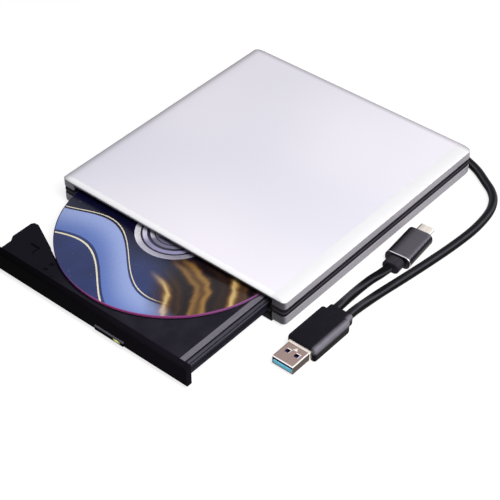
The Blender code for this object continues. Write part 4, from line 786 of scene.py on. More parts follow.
@dataclass(frozen=True)
class GlossPlastic(Finish):
    """Polished black plastic with smears, hair scratches and a little dust, lighter to the right.

    Attributes:
        right_tone: Screen colour towards the right.
        right_tone_side: Where that colour starts and is full across the tray, in metres.
        dust: Screen colour of the dust.
        specks: Specks of dust to a metre.
        speck_edge: Where a speck's edge starts and is full, in parts of their spacing.
        speck_share: How much of the dust's colour shows.
        smears: Waves of the smears to a metre.
        smear_along: How many times longer they are along each axis.
        smear_step: Noise where a smear starts and is full.
        hairs: Hair scratches to a metre.
        hair_along: How many times longer they are along each axis.
        hair_turn: Their turn about the upright axis, in radians.
        hair_step: Noise where a scratch starts and is full.
        hair_depth: Their depth, in metres.
        gloss_shares: How much smears and scratches add to the roughness.
        index: Refractive index, low because soot in the plastic takes the gloss.
    """

    right_tone: str = "17131a"
    right_tone_side: Span = (-0.0500, 0.0600)
    dust: str = "3a383f"
    specks: float = 700.0
    speck_edge: Span = (0.12, 0.04)
    speck_share: float = 0.12
    smears: float = 60.0
    smear_along: Point = (2.5, 1.0, 1.0)
    smear_step: Span = (0.42, 0.75)
    hairs: float = 1500.0
    hair_along: Point = (30.0, 1.0, 1.0)
    hair_turn: float = 0.3
    hair_step: Span = (0.62, 0.72)
    hair_depth: float = 0.00001
    gloss_shares: Span = (0.14, 0.1)
    index: float = 1.03

    def weave(self, recipe: Recipe) -> None:
        """Writes smears, scratches and dust.

        Args:
            recipe: The tree.
        """
        wiped = recipe.place(stretch=self.smear_along)
        smear = recipe.noise(wiped, self.smears, detail=4.0).rise(*self.smear_step)
        drawn = recipe.place(turn=self.hair_turn, stretch=self.hair_along)
        hair = recipe.noise(drawn, self.hairs, detail=1.0).rise(*self.hair_step)
        spot = recipe.place()
        speck = recipe.cells(spot, self.specks).rise(*self.speck_edge)
        x, _, _ = recipe.split(spot)
        colour = recipe.mix(x.rise(*self.right_tone_side), screen(self.colour), screen(self.right_tone))
        colour = recipe.mix(speck * self.speck_share, colour, screen(self.dust))
        smeared, scratched = self.gloss_shares
        recipe.surface({
            "Base Color": self.tone(recipe, colour), "IOR": self.index,
            "Roughness": smear * smeared + hair * scratched + self.roughness,
            "Normal": recipe.bump(hair, strength=0.05, depth=self.hair_depth)})

    def tone(self, recipe: Recipe, colour: Field) -> Field:
        """The colour as it is, which a finish of this kind may change in places."""
        return colour


@dataclass(frozen=True)
class ButtonPlastic(GlossPlastic):
    """The button's plastic, with a painted grey highlight along its upper edge.

    Attributes:
        rubbed: Screen colour of the painted highlight along the upper edge.
        edge: Heights where the painted highlight starts and is full, in metres.
    """

    rubbed: str = "5c5a62"
    edge: Span = (0.0053, 0.0056)

    def tone(self, recipe: Recipe, colour: Field) -> Field:
        """Lays the painted highlight along the upper edge over the plastic."""
        _, _, z = recipe.split(recipe.place())
        # Painted highlight along the button's upper edge.
        return recipe.mix(z.rise(*self.edge), colour, screen(self.rubbed))


@dataclass(frozen=True)
class BrushedMetal(Finish):
    """Metal drawn or brushed along one way.

    Attributes:
        shade: Screen colour in the brush lines.
        along: How many times longer the lines are along each axis.
        turn: Turn of the lines about the upright axis, in radians.
        lines: Brush lines to a metre.
        line_step: Noise where the main colour between the lines starts and is full.
        line_depth: Their depth, in metres.
        tarnish: Waves of the tarnish to a metre.
        tarnish_step: Noise where the tarnish starts and is full.
        tarnish_share: How much of the tarnish shows.
        gloss_shares: How far lines and tarnish change the roughness.
    """

    shade: str = "8d8c90"
    along: Point = (40.0, 1.0, 1.0)
    turn: float = 0.0
    lines: float = 1600.0
    line_step: Span = (0.3, 0.7)
    line_depth: float = 0.00002
    tarnish: float = 130.0
    tarnish_step: Span = (0.55, 0.85)
    tarnish_share: float = 0.35
    gloss_shares: Span = (0.14, 0.1)

    def weave(self, recipe: Recipe) -> None:
        """Writes brush lines and soft tarnish.

        Args:
            recipe: The tree.
        """
        lines = recipe.noise(recipe.place(turn=self.turn, stretch=self.along), self.lines)
        tarnish = recipe.noise(recipe.place(), self.tarnish, detail=3.0)
        colour = recipe.mix(
            lines.rise(*self.line_step), screen(self.shade), screen(self.colour))
        dulled = tarnish.rise(*self.tarnish_step) * self.tarnish_share
        colour = recipe.mix(dulled, colour, screen(self.shade))
        recipe.surface({
            "Base Color": self.tone(recipe, colour), "Metallic": 1.0,
            "Roughness": self.gloss((lines, tarnish), self.gloss_shares),
            "Normal": recipe.bump(lines, strength=0.12, depth=self.line_depth)})

    def tone(self, recipe: Recipe, colour: Field) -> Field:
        """The colour as it is, which a finish of this kind may change in places."""
        return colour


@dataclass(frozen=True)
class PlugPlate(BrushedMetal):
    """The wide plug's plate, with painted highlights along its upper edges and beside its holes.

    Attributes:
        bright: Screen colour of the painted highlights on the edges.
        side: Screen colour of the painted shade on the right side.
        side_face: Where the right side's colour starts and is full, in metres.
        right: Where the right edge starts, in metres.
        front: Where the front edge starts, in metres.
        top: Height above which an edge is bright, in metres.
        holes: Middles of the two holes across the plug, in metres.
        hole_back: The holes' back edges, in metres.
        hole_half: Half the width of a hole, in metres.
        rim: Width of the bright rim behind a hole, in metres.
        side_rim: Width of the rim beside a hole, in parts of the one behind it.
        lap: How far a rim reaches into its hole, in metres.
        fade: How far the edges of the bright places fade, in metres.
    """

    bright: str = "fbf6f2"
    side: str = "40362f"
    side_face: Span = (0.0946, 0.0948)
    right: float = 0.0943
    front: float = -0.0670
    top: float = 0.0061
    holes: Span = (0.0862, 0.0914)
    hole_back: float = -0.0594
    hole_half: float = 0.0011
    rim: float = 0.00045
    side_rim: float = 0.7
    lap: float = 0.0001
    fade: float = 0.00006

    def tone(self, recipe: Recipe, colour: Field) -> Field:
        """Lays the painted shade on the right side and the painted highlights on the edges over the
        plate.

        Args:
            recipe: The tree.
            colour: The colour below.

        Returns:
            The mixed colour.
        """
        x, y, z = recipe.split(recipe.place())
        fade, back = self.fade, self.hole_back
        # Painted highlights along the right and front edges and beside the holes.
        bright = x.rise(self.right - fade, self.right + fade).most(
            y.rise(self.front + fade, self.front - fade))
        for middle in self.holes:
            left, right = middle - self.hole_half, middle + self.hole_half
            behind = x.band(left, right + self.rim, fade) * y.band(
                back - self.lap, back + self.rim, fade)
            beside = x.band(right - self.lap, right + self.rim * self.side_rim, fade) * y.band(
                back - 2.0 * self.hole_half, back, fade)
            bright = bright.most(behind).most(beside)
        # Painted shade on the right side.
        colour = recipe.mix(x.rise(*self.side_face), colour, screen(self.side))
        above = z.rise(self.top - fade, self.top + fade)
        return recipe.mix(bright * above, colour, screen(self.bright))


@dataclass(frozen=True)
class SleevePlate(BrushedMetal):
    """The small plug's sleeve, with painted shade along its left and its right side, and darker at
    its back end.

    Attributes:
        dark: Screen colour of the painted shade and of the darker back end.
        origin: The plug's own origin, in metres.
        left: Where the left darkness starts and is full across the plug, in metres.
        right: Where the right side starts and is full across the plug, in metres.
        right_top: Heights where the right side's darkness starts and is full, in metres.
        back: Where the back end's darkness starts and is full along the plug, in metres.
        depth: How much of the darker colour shows there.
    """

    dark: str = "19161b"
    origin: Point = SMALL_PLUG
    left: Span = (-0.0008, -0.0056)
    right: Span = (0.0050, 0.0064)
    right_top: Span = (0.0066, 0.0054)
    back: Span = (0.0006, 0.0002)
    depth: float = 0.9

    def tone(self, recipe: Recipe, colour: Field) -> Field:
        """Lays the painted shade and the darker back end over the sleeve.

        Args:
            recipe: The tree.
            colour: The colour below.

        Returns:
            The mixed colour.
        """
        x, y, z = recipe.split(recipe.place(self.origin, self.turn))
        side = x.rise(*self.right) * z.rise(*self.right_top)
        dark = x.rise(*self.left).most(side).most(y.rise(*self.back))
        # Painted shade along the left and the right side; darker at the back end.
        return recipe.mix(dark * self.depth, colour, screen(self.dark))


@dataclass(frozen=True)
class CastMetal(Finish):
    """Die-cast metal with a grey mottled skin.

    Attributes:
        pit: Screen colour in the darker mottle.
        mottle: Waves of the mottle to a metre.
        mottle_step: Noise where the main colour starts and is full.
        mottle_gloss: How far the mottle changes the roughness.
        pits: Pits to a metre.
        pit_share: Height of the pits, in parts of the mottle's.
        pit_depth: Height of the mottle, in metres.
        bare: How much of the skin is bare metal.
    """

    pit: str = "5f5f63"
    mottle: float = 420.0
    mottle_step: Span = (0.3, 0.7)
    mottle_gloss: float = 0.25
    pits: float = 900.0
    pit_share: float = 0.4
    pit_depth: float = 0.00005
    bare: float = 0.85

    def weave(self, recipe: Recipe) -> None:
        """Writes the mottle and shallow pits.

        Args:
            recipe: The tree.
        """
        spot = recipe.place()
        mottle = recipe.noise(spot, self.mottle, detail=4.0)
        height = mottle + recipe.cells(spot, self.pits) * self.pit_share
        colour = recipe.mix(
            mottle.rise(*self.mottle_step), screen(self.pit), screen(self.colour))
        recipe.surface({
            "Base Color": colour, "Metallic": self.bare,
            "Roughness": self.gloss((mottle,), (self.mottle_gloss,)),
            "Normal": recipe.bump(height, strength=0.3, depth=self.pit_depth)})


@dataclass(frozen=True)
class CircuitBoard(Finish):
    """Solder mask over copper tracks, with bare pads.

    Attributes:
        track: Screen colour over the tracks.
        pad: Screen colour of the pads.
        pitch: Radians of the tracks' wave to a metre.
        track_step: Height of that wave where a track starts and is full.
        track_high: Height of a track, in parts of a pad's.
        fields: Waves of the change between the two ways of the tracks to a metre.
        field_step: Noise where the change starts and is full.
        field_shift: How far the tracks shift with it, in radians.
        pads: Pads to a metre.
        pad_edge: Where a pad's edge starts and is full, in parts of their spacing.
        pad_bare: How much of a pad is bare metal.
        pad_gloss: How much smoother a pad is.
        relief: Height of a pad, in metres.
    """

    track: str = "1f6a40"
    pad: str = "c9a75a"
    pitch: float = 3900.0
    track_step: Span = (0.25, 0.45)
    track_high: float = 0.5
    fields: float = 45.0
    field_step: Span = (0.45, 0.55)
    field_shift: float = 3.0
    pads: float = 260.0
    pad_edge: Span = (0.2, 0.17)
    pad_bare: float = 0.9
    pad_gloss: float = 0.12
    relief: float = 0.00003

    def weave(self, recipe: Recipe) -> None:
        """Writes tracks along both ways, and pads.

        Args:
            recipe: The tree.
        """
        spot = recipe.place()
        x, y, _ = recipe.split(spot)
        wander = recipe.noise(spot, self.fields, detail=0.0).rise(*self.field_step)
        across, along = (
            (way * self.pitch + wander * self.field_shift).sine().rise(*self.track_step)
            for way in (x, y))
        tracks = across * wander + along * (1.0 - wander)
        pads = recipe.cells(spot, self.pads).rise(*self.pad_edge)
        colour = recipe.mix(tracks, screen(self.colour), screen(self.track))
        colour = recipe.mix(pads, colour, screen(self.pad))
        recipe.surface({
            "Base Color": colour, "Roughness": self.roughness - pads * self.pad_gloss,
            "Metallic": pads * self.pad_bare,
            "Normal": recipe.bump(
                tracks * self.track_high + pads, strength=0.4, depth=self.relief)})


@dataclass(frozen=True)
class LightLens(Finish):
    """A lit lens of clouded plastic, hottest at its middle.

    Attributes:
        edge: Screen colour at its ends.
        middle: Its middle, in metres.
        half: Half its width, in metres.
        fade: Where its ends' colour starts and is full, in half widths.
        glow: Strength of its own light.
        clouds: Waves of the clouds to a metre.
        cloud_reach: How far the clouds draw the ends' colour in, in half widths.
        cloud_gloss: How much the clouds add to the roughness.
        prisms: Radians of the prisms' wave to a metre.
        prism_depth: Height of the prisms, in metres.
    """

    edge: str = "4c5226"
    middle: Point = (0.0213, -0.1048, 0.00445)
    half: float = 0.0023
    fade: Span = (0.35, 1.25)
    glow: float = 0.45
    clouds: float = 1500.0
    cloud_reach: float = 0.3
    cloud_gloss: float = 0.2
    prisms: float = 9000.0
    prism_depth: float = 0.00003

    def weave(self, recipe: Recipe) -> None:
        """Writes the glow, which fades to the ends, and fine prisms.

        Args:
            recipe: The tree.
        """
        spot = recipe.place(self.middle)
        x, _, _ = recipe.split(spot)
        cloud = recipe.noise(spot, self.clouds)
        prisms = (x * self.prisms).sine()
        reach = (x * x).root() / self.half + cloud * self.cloud_reach
        colour = recipe.mix(reach.rise(*self.fade), screen(self.colour), screen(self.edge))
        recipe.surface({
            "Base Color": colour, "Emission Color": colour, "Emission Strength": self.glow,
            "Roughness": cloud * self.cloud_gloss + self.roughness,
            "Normal": recipe.bump(prisms, strength=0.2, depth=self.prism_depth)})


@dataclass(frozen=True)
class LensGlass(Finish):
    """A coated glass lens with a violet bloom.

    Attributes:
        bloom: Screen colour of the coating seen aslant.
        slant: How far aslant it is seen.
        clouds: Waves of the coating's clouds to a metre.
        cloud_gloss: How much the clouds add to the roughness.
        index: Refractive index of the glass.
        clear: How much light goes through.
        coat: Weight of the coating.
    """

    bloom: str = "4a3f9a"
    slant: float = 0.4
    clouds: float = 600.0
    cloud_gloss: float = 0.04
    index: float = 1.52
    clear: float = 0.7
    coat: float = 0.5

    def weave(self, recipe: Recipe) -> None:
        """Writes the coating's bloom.

        Args:
            recipe: The tree.
        """
        weight = recipe.node("ShaderNodeLayerWeight", None, {"Blend": self.slant})
        cloud = recipe.noise(recipe.place(), self.clouds)
        colour = recipe.mix(recipe.out(weight, 1), screen(self.colour), screen(self.bloom))
        recipe.surface({
            "Base Color": colour, "Roughness": cloud * self.cloud_gloss + self.roughness,
            "IOR": self.index, "Transmission Weight": self.clear, "Coat Weight": self.coat})


@dataclass(frozen=True)
class HubRing:
    """A ring of the disc's hub.

    Attributes:
        outside: Radius from which it is full, in millimetres.
        plain: Its screen colour.
        lit: Its screen colour in the glints, if it shines.
        fade: How far its outer edge fades, in millimetres.
    """

    outside: float
    plain: str
    lit: Optional[str] = None
    fade: float = 0.2


@dataclass(frozen=True)
class DiscPrint(Finish):
    """A disc with an abstract print, clear hub rings, a dyed edge and a mirror underside.

    Its colour is the print's night field. Places on the disc are in millimetres from its middle.

    Attributes:
        centre: The disc's middle, in metres.
        bottom: Height of the read face, in metres.
        read_face: Where the read face starts and is full above its height.
        read_bare: How much of the read face is bare metal.
        read_gloss: How much smoother the read face is.
        rainbow: Screen colours of the read face.
        shimmer: Radians of the rainbow's wave to a radian of turn and to a millimetre outwards.
        mist: Waves of the slow mist to a millimetre.
        mist_swirl: How far the mist is swirled.
        glow: Screen colour where the night field is lit; the darker back, under the top shell, is
            partly print and partly painted shadow.
        glow_from: Where its light starts and is full along the disc.
        glow_share: How much of it shows in the least and in the most mist.
        star: Screen colour of the stars.
        stars: How many stars there are to a millimetre.
        star_edge: Where a star's edge starts and is full, in parts of their spacing.
        star_share: How much of the stars' colour shows.
        clusters: Waves of the stars' clusters to a millimetre.
        cluster_step: Noise where a cluster starts and is full.
        wave: Screen colours of the wave's lower and upper edge.
        wave_sides: Where the wave starts and ends across its middle line.
        wave_fade: How far its edges fade.
        wave_place: How far its middle line lies in front of the disc's middle.
        wave_slope: How far that line comes forward in a millimetre to the right.
        wave_high: How far that line swings.
        wave_pitch: Radians of its swing to a millimetre.
        wave_start: Where its swing starts, in radians.
        hairline: Screen colour of the lines along the wave.
        hairlines: Where those lines start and end across the wave's middle line.
        hairline_fade: How far their edges fade.
        silk: Screen colours of the silk folds, from hollow to crest.
        silk_middle: Where the silk lies.
        silk_reach: Where the silk starts and is full about its middle.
        silk_fray: How far the mist frays the silk's edge.
        silk_way: The way across the folds.
        broad_fold: Radians of the broad folds to a millimetre, and their height.
        narrow_fold: Radians of the narrow folds to a millimetre, and their height.
        fold_lag: How far the narrow folds lag behind, in radians.
        sway: How far the folds swing.
        sway_pitch: Radians of their swing to a millimetre.
        sway_start: Where their swing starts, in radians.
        sway_mist: How far the mist moves the folds.
        rings: The hub's rings from the outermost in.
        ring_fade: How far the edges of the groove and the mirror fade.
        glints: How many glints there are across the rings.
        glint_start: Where the glints' wave starts, in radians.
        glint_step: Height of that wave where a glint starts and is full.
        groove: Where the hub's dark groove starts and ends.
        groove_colour: Screen colour of the groove.
        mirror: Where the metal ring round the hub starts and ends.
        mirror_bare: How much of that ring is bare metal.
        rim: Screen colours of the rim, from its right to its left, rose where its tint shows with a
            painted highlight, navy as painted shade.
        rim_start: Turn of the rim's colours, in radians.
        rim_width: Where the rim starts and is full.
        coat: Weight of the lacquer.
        coat_roughness: Roughness of the lacquer.
        index: Refractive index of the lacquer.
        wipes: Waves of the wiped patches to a millimetre.
        wipe_gloss: How much those add to the roughness.
        tracks: Radians of the fine tracks' wave to a millimetre.
        track_depth: Depth of the fine tracks, in metres.
    """

    centre: Point = DISC_CENTRE
    bottom: float = DISC_BOTTOM
    read_face: Span = (0.3, 0.2)
    read_bare: float = 0.95
    read_gloss: float = 0.1
    rainbow: tuple[Stop, ...] = (
        (0.0, "8a86c8"), (0.3, "9cc7cf"), (0.55, "c9c48f"), (0.8, "d29ab0"), (1.0, "9a8cc9"))
    shimmer: Span = (2.0, 0.16)
    mist: float = 0.05
    mist_swirl: float = 0.4
    glow: str = "44589a"
    glow_from: Span = (-13.0, -34.0)
    glow_share: Span = (0.1, 0.55)
    star: str = "cfd3ea"
    stars: float = 0.34
    star_edge: Span = (0.085, 0.055)
    star_share: float = 0.7
    clusters: float = 0.16
    cluster_step: Span = (0.5, 0.62)
    wave: tuple[str, str] = ("5d74b4", "93a3d4")
    wave_sides: Span = (-9.5, 8.0)
    wave_fade: float = 0.25
    wave_place: float = 39.0
    wave_slope: float = 0.25
    wave_high: float = 9.0
    wave_pitch: float = 0.075
    wave_start: float = 0.4
    hairline: str = "e6dcc2"
    hairlines: tuple[Span, Span] = ((9.3, 9.9), (-12.2, -11.2))
    hairline_fade: float = 0.12
    silk: tuple[Stop, ...] = (
        (0.0, "120d14"), (0.38, "291b17"), (0.64, "553b24"), (0.86, "8c6a3a"), (1.0, "c2a872"))
    silk_middle: Span = (44.0, -22.0)
    silk_reach: Span = (42.0, 26.0)
    silk_fray: float = 10.0
    silk_way: Span = (0.55, 0.84)
    broad_fold: Span = (0.36, 0.33)
    narrow_fold: Span = (0.93, 0.17)
    fold_lag: float = 1.0
    sway: float = 4.5
    sway_pitch: float = 0.11
    sway_start: float = 0.6
    sway_mist: float = 12.0
    rings: tuple[HubRing, ...] = (
        HubRing(20.3, "b9b6c8", "f6f5fa", 0.3), HubRing(17.5, "2a2836"),
        HubRing(16.5, "8f8bae", "dcd9ec"), HubRing(14.3, "353344"),
        HubRing(12.7, "77748a", "e2e0ea"))
    ring_fade: float = 0.15
    glints: float = 2.0
    glint_start: float = 0.5
    glint_step: Span = (0.2, 0.95)
    groove: Span = (10.2, 10.8)
    groove_colour: str = "3a3848"
    mirror: Span = (17.6, 20.3)
    mirror_bare: float = 0.35
    rim: tuple[Stop, ...] = (
        (0.0, "7d5a88"), (0.3, "8a3c76"), (0.66, "8f3f78"), (0.85, "45306a"), (1.0, "1a183f"))
    rim_start: float = 1.15
    rim_width: Span = (59.3, 59.5)
    coat: float = 0.12
    coat_roughness: float = 0.06
    index: float = 1.25
    wipes: float = 0.5
    wipe_gloss: float = 0.12
    tracks: float = 9.0
    track_depth: float = 0.00001

    def weave(self, recipe: Recipe) -> None:
        """Writes the print, the rings, the edge and the read face.

        Args:
            recipe: The tree.
        """
        spot = recipe.place(self.centre, stretch=(MILLIMETRE, MILLIMETRE, MILLIMETRE))
        x, y, z = recipe.split(spot)
        radius = (x * x + y * y).root()
        turn = y.angle(x)
        mist = recipe.noise(spot, self.mist, detail=3.0, distortion=self.mist_swirl)
        colour = self.night(recipe, spot, y, mist)
        colour = self.lay_wave(recipe, colour, x, y)
        colour = self.lay_silk(recipe, colour, x, y, mist)
        colour = self.lay_rings(recipe, colour, radius, turn)
        colour = self.lay_rim_tint_and_light(recipe, colour, radius, turn)
        height = self.bottom / MILLIMETRE
        read = z.rise(height + self.read_face[0], height + self.read_face[1])
        around, outwards = self.shimmer
        shimmer = (turn * around + radius * outwards).sine() * 0.5 + 0.5
        colour = recipe.mix(read, colour, recipe.ramp(shimmer, self.rainbow))
        wiped = recipe.noise(spot, self.wipes, detail=3.0) * self.wipe_gloss
        tracks = (radius * self.tracks).sine() * 0.5 + 0.5
        mirror = radius.band(*self.mirror, self.ring_fade) * (1.0 - read)
        recipe.surface({
            "Base Color": colour, "Metallic": read * self.read_bare + mirror * self.mirror_bare,
            "Roughness": wiped + self.roughness - read * self.read_gloss,
            "Coat Weight": self.coat, "Coat Roughness": self.coat_roughness, "IOR": self.index,
            "Normal": recipe.bump(tracks, strength=0.02, depth=self.track_depth)})

    def night(self, recipe: Recipe, spot: Field, y: Field, mist: Field) -> Field:
        """Mixes the dark field, lit at the front, with its stars; the darker back is partly print
        and partly painted shadow of the top shell.

        Args:
            recipe: The tree.
            spot: Coordinates in millimetres from the disc's middle.
            y: Place along the disc, in millimetres.
            mist: Slow noise over the disc.

        Returns:
            The mixed colour.
        """
        # The darker back, under the top shell, is partly print and partly painted shadow.
        lit = y.rise(*self.glow_from) * mist.spread(*self.glow_share)
        colour = recipe.mix(lit, screen(self.colour), screen(self.glow))
        clusters = recipe.noise(spot, self.clusters, detail=1.0).rise(*self.cluster_step)
        stars = recipe.cells(spot, self.stars).rise(*self.star_edge) * clusters
        return recipe.mix(stars * self.star_share, colour, screen(self.star))

    def lay_wave(self, recipe: Recipe, colour: Field, x: Field, y: Field) -> Field:
        """Lays the wave and the lines along it over the field.

        Args:
            recipe: The tree.
            colour: The colour below.
            x: Place across the disc, in millimetres.
            y: Place along the disc, in millimetres.

        Returns:
            The mixed colour.
        """
        swing = (x * self.wave_pitch + self.wave_start).sine() * self.wave_high
        wave = y + swing + x * self.wave_slope + self.wave_place
        body = recipe.mix(wave.rise(*self.wave_sides), screen(self.wave[0]), screen(self.wave[1]))
        colour = recipe.mix(wave.band(*self.wave_sides, self.wave_fade), colour, body)
        upper, lower = (wave.band(*sides, self.hairline_fade) for sides in self.hairlines)
        return recipe.mix(upper.most(lower), colour, screen(self.hairline))

    def lay_silk(self, recipe: Recipe, colour: Field, x: Field, y: Field, mist: Field) -> Field:
        """Lays the silk folds over the field's right.

        Args:
            recipe: The tree.
            colour: The colour below.
            x: Place across the disc, in millimetres.
            y: Place along the disc, in millimetres.
            mist: Slow noise over the disc.

        Returns:
            The mixed colour.
        """
        right, back = self.silk_way
        across = x * right + y * back
        along = x * back - y * right
        swing = (along * self.sway_pitch + self.sway_start).sine() * self.sway
        place = across + swing + mist * self.sway_mist
        broad = (place * self.broad_fold[0]).sine() * self.broad_fold[1]
        narrow = (place * self.narrow_fold[0] + self.fold_lag).sine() * self.narrow_fold[1]
        folds = broad + narrow + 0.5
        aside = x - self.silk_middle[0]
        away = y - self.silk_middle[1]
        reach = (aside * aside + away * away).root() + mist * self.silk_fray
        return recipe.mix(reach.rise(*self.silk_reach), colour, recipe.ramp(folds, self.silk))

    def lay_rings(self, recipe: Recipe, colour: Field, radius: Field, turn: Field) -> Field:
        """Lays the hub's rings over the print, with pale glints across them.

        Args:
            recipe: The tree.
            colour: The colour below.
            radius: Distance from the disc's middle, in millimetres.
            turn: Turn about the disc's middle, in radians.

        Returns:
            The mixed colour.
        """
        glint = (turn * self.glints + self.glint_start).sine().rise(*self.glint_step)
        for ring in self.rings:
            tint = screen(ring.plain)
            if ring.lit is not None:
                tint = recipe.mix(glint, tint, screen(ring.lit))
            colour = recipe.mix(radius.rise(ring.outside + ring.fade, ring.outside), colour, tint)
        groove = radius.band(*self.groove, self.ring_fade)
        return recipe.mix(groove, colour, screen(self.groove_colour))

    def lay_rim_tint_and_light(self, recipe: Recipe, colour: Field, radius: Field, turn: Field) -> Field:
        """Colours the rim from rose in front, its tint with a painted highlight, to navy at the
        left as painted shade.
        """
        rose = (turn + self.rim_start).sine() * -0.5 + 0.5
        # Painted highlight and shade round the rim by its turn.
        return recipe.mix(radius.rise(*self.rim_width), colour, recipe.ramp(rose, self.rim))


FINISHES: dict[Slot, Finish] = {
    Slot.SILVER_SHELL: SatinPaint("satin_silver_paint", "eae5ee", 0.42),
    Slot.BLACK_PLASTIC: MouldedPlastic("moulded_black_plastic", "1d1b20", 0.55, rubbed="29272d"),
    Slot.RUBBER: MouldedPlastic("soft_black_rubber", "201f22", 0.85, rubbed="2b2a2d", grain=1800.0),
    Slot.STEEL: BrushedMetal("drawn_steel", "c3c3c6", 0.36, along=(1.0, 40.0, 1.0)),
    Slot.CIRCUIT_BOARD: CircuitBoard("green_circuit_board", "12482b", 0.4),
    Slot.CHIP_RESIN: MouldedPlastic(
        "chip_resin", "1a1a1c", 0.5, rubbed="222226", grain=5200.0, index=1.3),
    Slot.TRAY_PLASTIC: TrayPlastic(
        "charcoal_tray_plastic", "1f1d25", 0.55, rubbed="28262f", grain=2100.0),
    Slot.BLACK_SHEET: MouldedPlastic(
        "black_coated_sheet", "19191b", 0.5, rubbed="222225", grain=900.0),
    Slot.BEZEL_GLOSS: GlossPlastic("polished_black_plastic", "08070a", 0.12),
    Slot.LIGHT_WINDOW: LightLens("lit_lime_lens", "c6cd78", 0.3),
    Slot.DISC: DiscPrint("printed_disc", "0a0a26", 0.22),
    Slot.CAST_METAL: CastMetal("die_cast_metal", "8d8d92", 0.455),
    Slot.LENS_GLASS: LensGlass("coated_lens_glass", "c8d4ea", 0.03),
    Slot.CORD_JACKET: CordJacket(
        "satin_cord_jacket", "0b0b0d", 0.34, rubbed="0f0f11", grain=1500.0, relief=0.00001,
        index=1.1),
    Slot.PLUG_GRIP: GripPlastic(
        "soft_plug_grip", "17161c", 0.36, rubbed="1e1c23", grain=2400.0, index=1.1),
    # The plate's mauve tint stands for a painted reflection; nickel itself is neutral.
    Slot.PLUG_METAL: PlugPlate(
        "nickel_plate", "a58f8b", 0.3, shade="9a8581", along=(1.0, 40.0, 1.0)),
    Slot.PLUG_SLEEVE: SleevePlate(
        "dark_anodised_sleeve", "5f5b63", 0.42, shade="57535b", turn=SMALL_PLUG_TURN),
    # The tongue's main colour is brightened as painted light on its front face.
    Slot.TONGUE_BLUE: TonguePlastic(
        "bright_blue_plastic", "86e2ff", 0.4, rubbed="94e8ff", grain=3000.0),
}
BRIGHT_PLATE = BrushedMetal("bright_nickel", "f6efe8", 0.28, shade="e6dcd2", along=(1.0, 40.0, 1.0))
RIM_PLATE = BrushedMetal("polished_rim", "e4e1e6", 0.25, shade="d2ced4")
CONTACT_PLATE = BrushedMetal("gilt_contact", "d9b45c", 0.3, shade="b08a3c", along=(1.0, 30.0, 1.0))


def slot_of(node: str) -> Slot:
    """The slot of a CAD node, from the record."""
    return Slot(frame["nodes"][node].material_slots[0].material.name.split(".")[0])


def adopt(piece: bpy.types.Object, finish: Finish, body: str,
          replaced: Sequence[str] = ()) -> bpy.types.Object:
    """Dresses a piece, and ties it to its body and the nodes that it stands for.

    Args:
        piece: The piece, in place.
        finish: What it is dressed in.
        body: The body that it rides on.
        replaced: The CAD nodes that it replaces.

    Returns:
        The piece.
    """
    piece.data.materials.clear()
    piece.data.materials.append(finish.material())
    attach(piece, body)
    if replaced:
        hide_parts(*replaced)
    LOG.info("piece %s on %s in %s", piece.name, body, finish.name)
    return piece


def piece_from(book: bmesh.types.BMesh, name: str) -> bpy.types.Object:
    """Makes an object of a bmesh, smooth but for its sharp edges, and frees it.

    Args:
        book: The shape.
        name: The piece's name.

    Returns:
        The object, linked to the scene.
    """
    for face in book.faces:
        face.smooth = True
    mesh = bpy.data.meshes.new(name)
    book.to_mesh(mesh)
    book.free()
    for stale in ("custom_normal", "sharp_face"):
        if stale in mesh.attributes:
            mesh.attributes.remove(mesh.attributes[stale])
    piece = bpy.data.objects.new(name, mesh)
    bpy.context.scene.collection.objects.link(piece)
    return piece


def round_edges(piece: bpy.types.Object, width: float, steps: int = 2) -> None:
    """Rounds a piece's sharp edges with a modifier and evens its shading.

    Args:
        piece: The piece.
        width: Width of the rounding, in metres.
        steps: Faces across it.
    """
    bevel = piece.modifiers.new("rounded_edges", "BEVEL")
    bevel.width = width
    bevel.segments = steps
    bevel.limit_method = "ANGLE"
    bevel.angle_limit = SHARP_ANGLE
    bevel.profile = 0.5
    bevel.miter_outer = "MITER_ARC"
    even = piece.modifiers.new("even_shading", "WEIGHTED_NORMAL")
    even.keep_sharp = True


def merged(node: str) -> bmesh.types.BMesh:
    """Merges a copy of a CAD node's mesh, its flat faces whole again.

    Args:
        node: The node.

    Returns:
        The merged copy.
    """
    book = bmesh.new()
    book.from_mesh(frame["nodes"][node].data)
    bmesh.ops.remove_doubles(book, verts=book.verts, dist=NODE_WELD)
    bmesh.ops.dissolve_limit(book, angle_limit=FLAT_ANGLE, verts=book.verts, edges=book.edges)
    return book


def recast(node: str, width: float, steps: int = 2,
           finish: Optional[Finish] = None) -> bpy.types.Object:
    """Casts a CAD node anew with rounded edges and its slot's finish.

    Args:
        node: The node.
        width: Width of the rounding, in metres.
        steps: Faces across it.
        finish: A finish of its own in place of its slot's.

    Returns:
        The piece, which replaces the node.
    """
    slot = slot_of(node)
    body = body_of(frame["nodes"][node])[0]
    piece = piece_from(merged(node), node + "_dressed")
    round_edges(piece, width, steps)
    return adopt(piece, finish or FINISHES[slot], body, [node])


def lathe(profile: Sequence[Span], centre: Point, steps: int) -> bmesh.types.BMesh:
    """Turns a closed profile about an upright axis.

    Args:
        profile: Distance from the axis and height of each point, in metres.
        centre: A point of the axis.
        steps: Faces around.

    Returns:
        The turned shape.
    """
    book = bmesh.new()
    middle = Vector((centre[0], centre[1], 0.0))
    ring = [book.verts.new(middle + Vector((r, 0.0, z))) for r, z in profile]
    chain = [book.edges.new((a, b)) for a, b in zip(ring, ring[1:] + ring[:1])]
    bmesh.ops.spin(book, geom=ring + chain, cent=middle, axis=(0.0, 0.0, 1.0), angle=math.tau,
                   steps=steps, use_merge=True, use_duplicate=False)
    bmesh.ops.remove_doubles(book, verts=book.verts, dist=LATHE_WELD)
    bmesh.ops.recalc_face_normals(book, faces=book.faces)
    return book


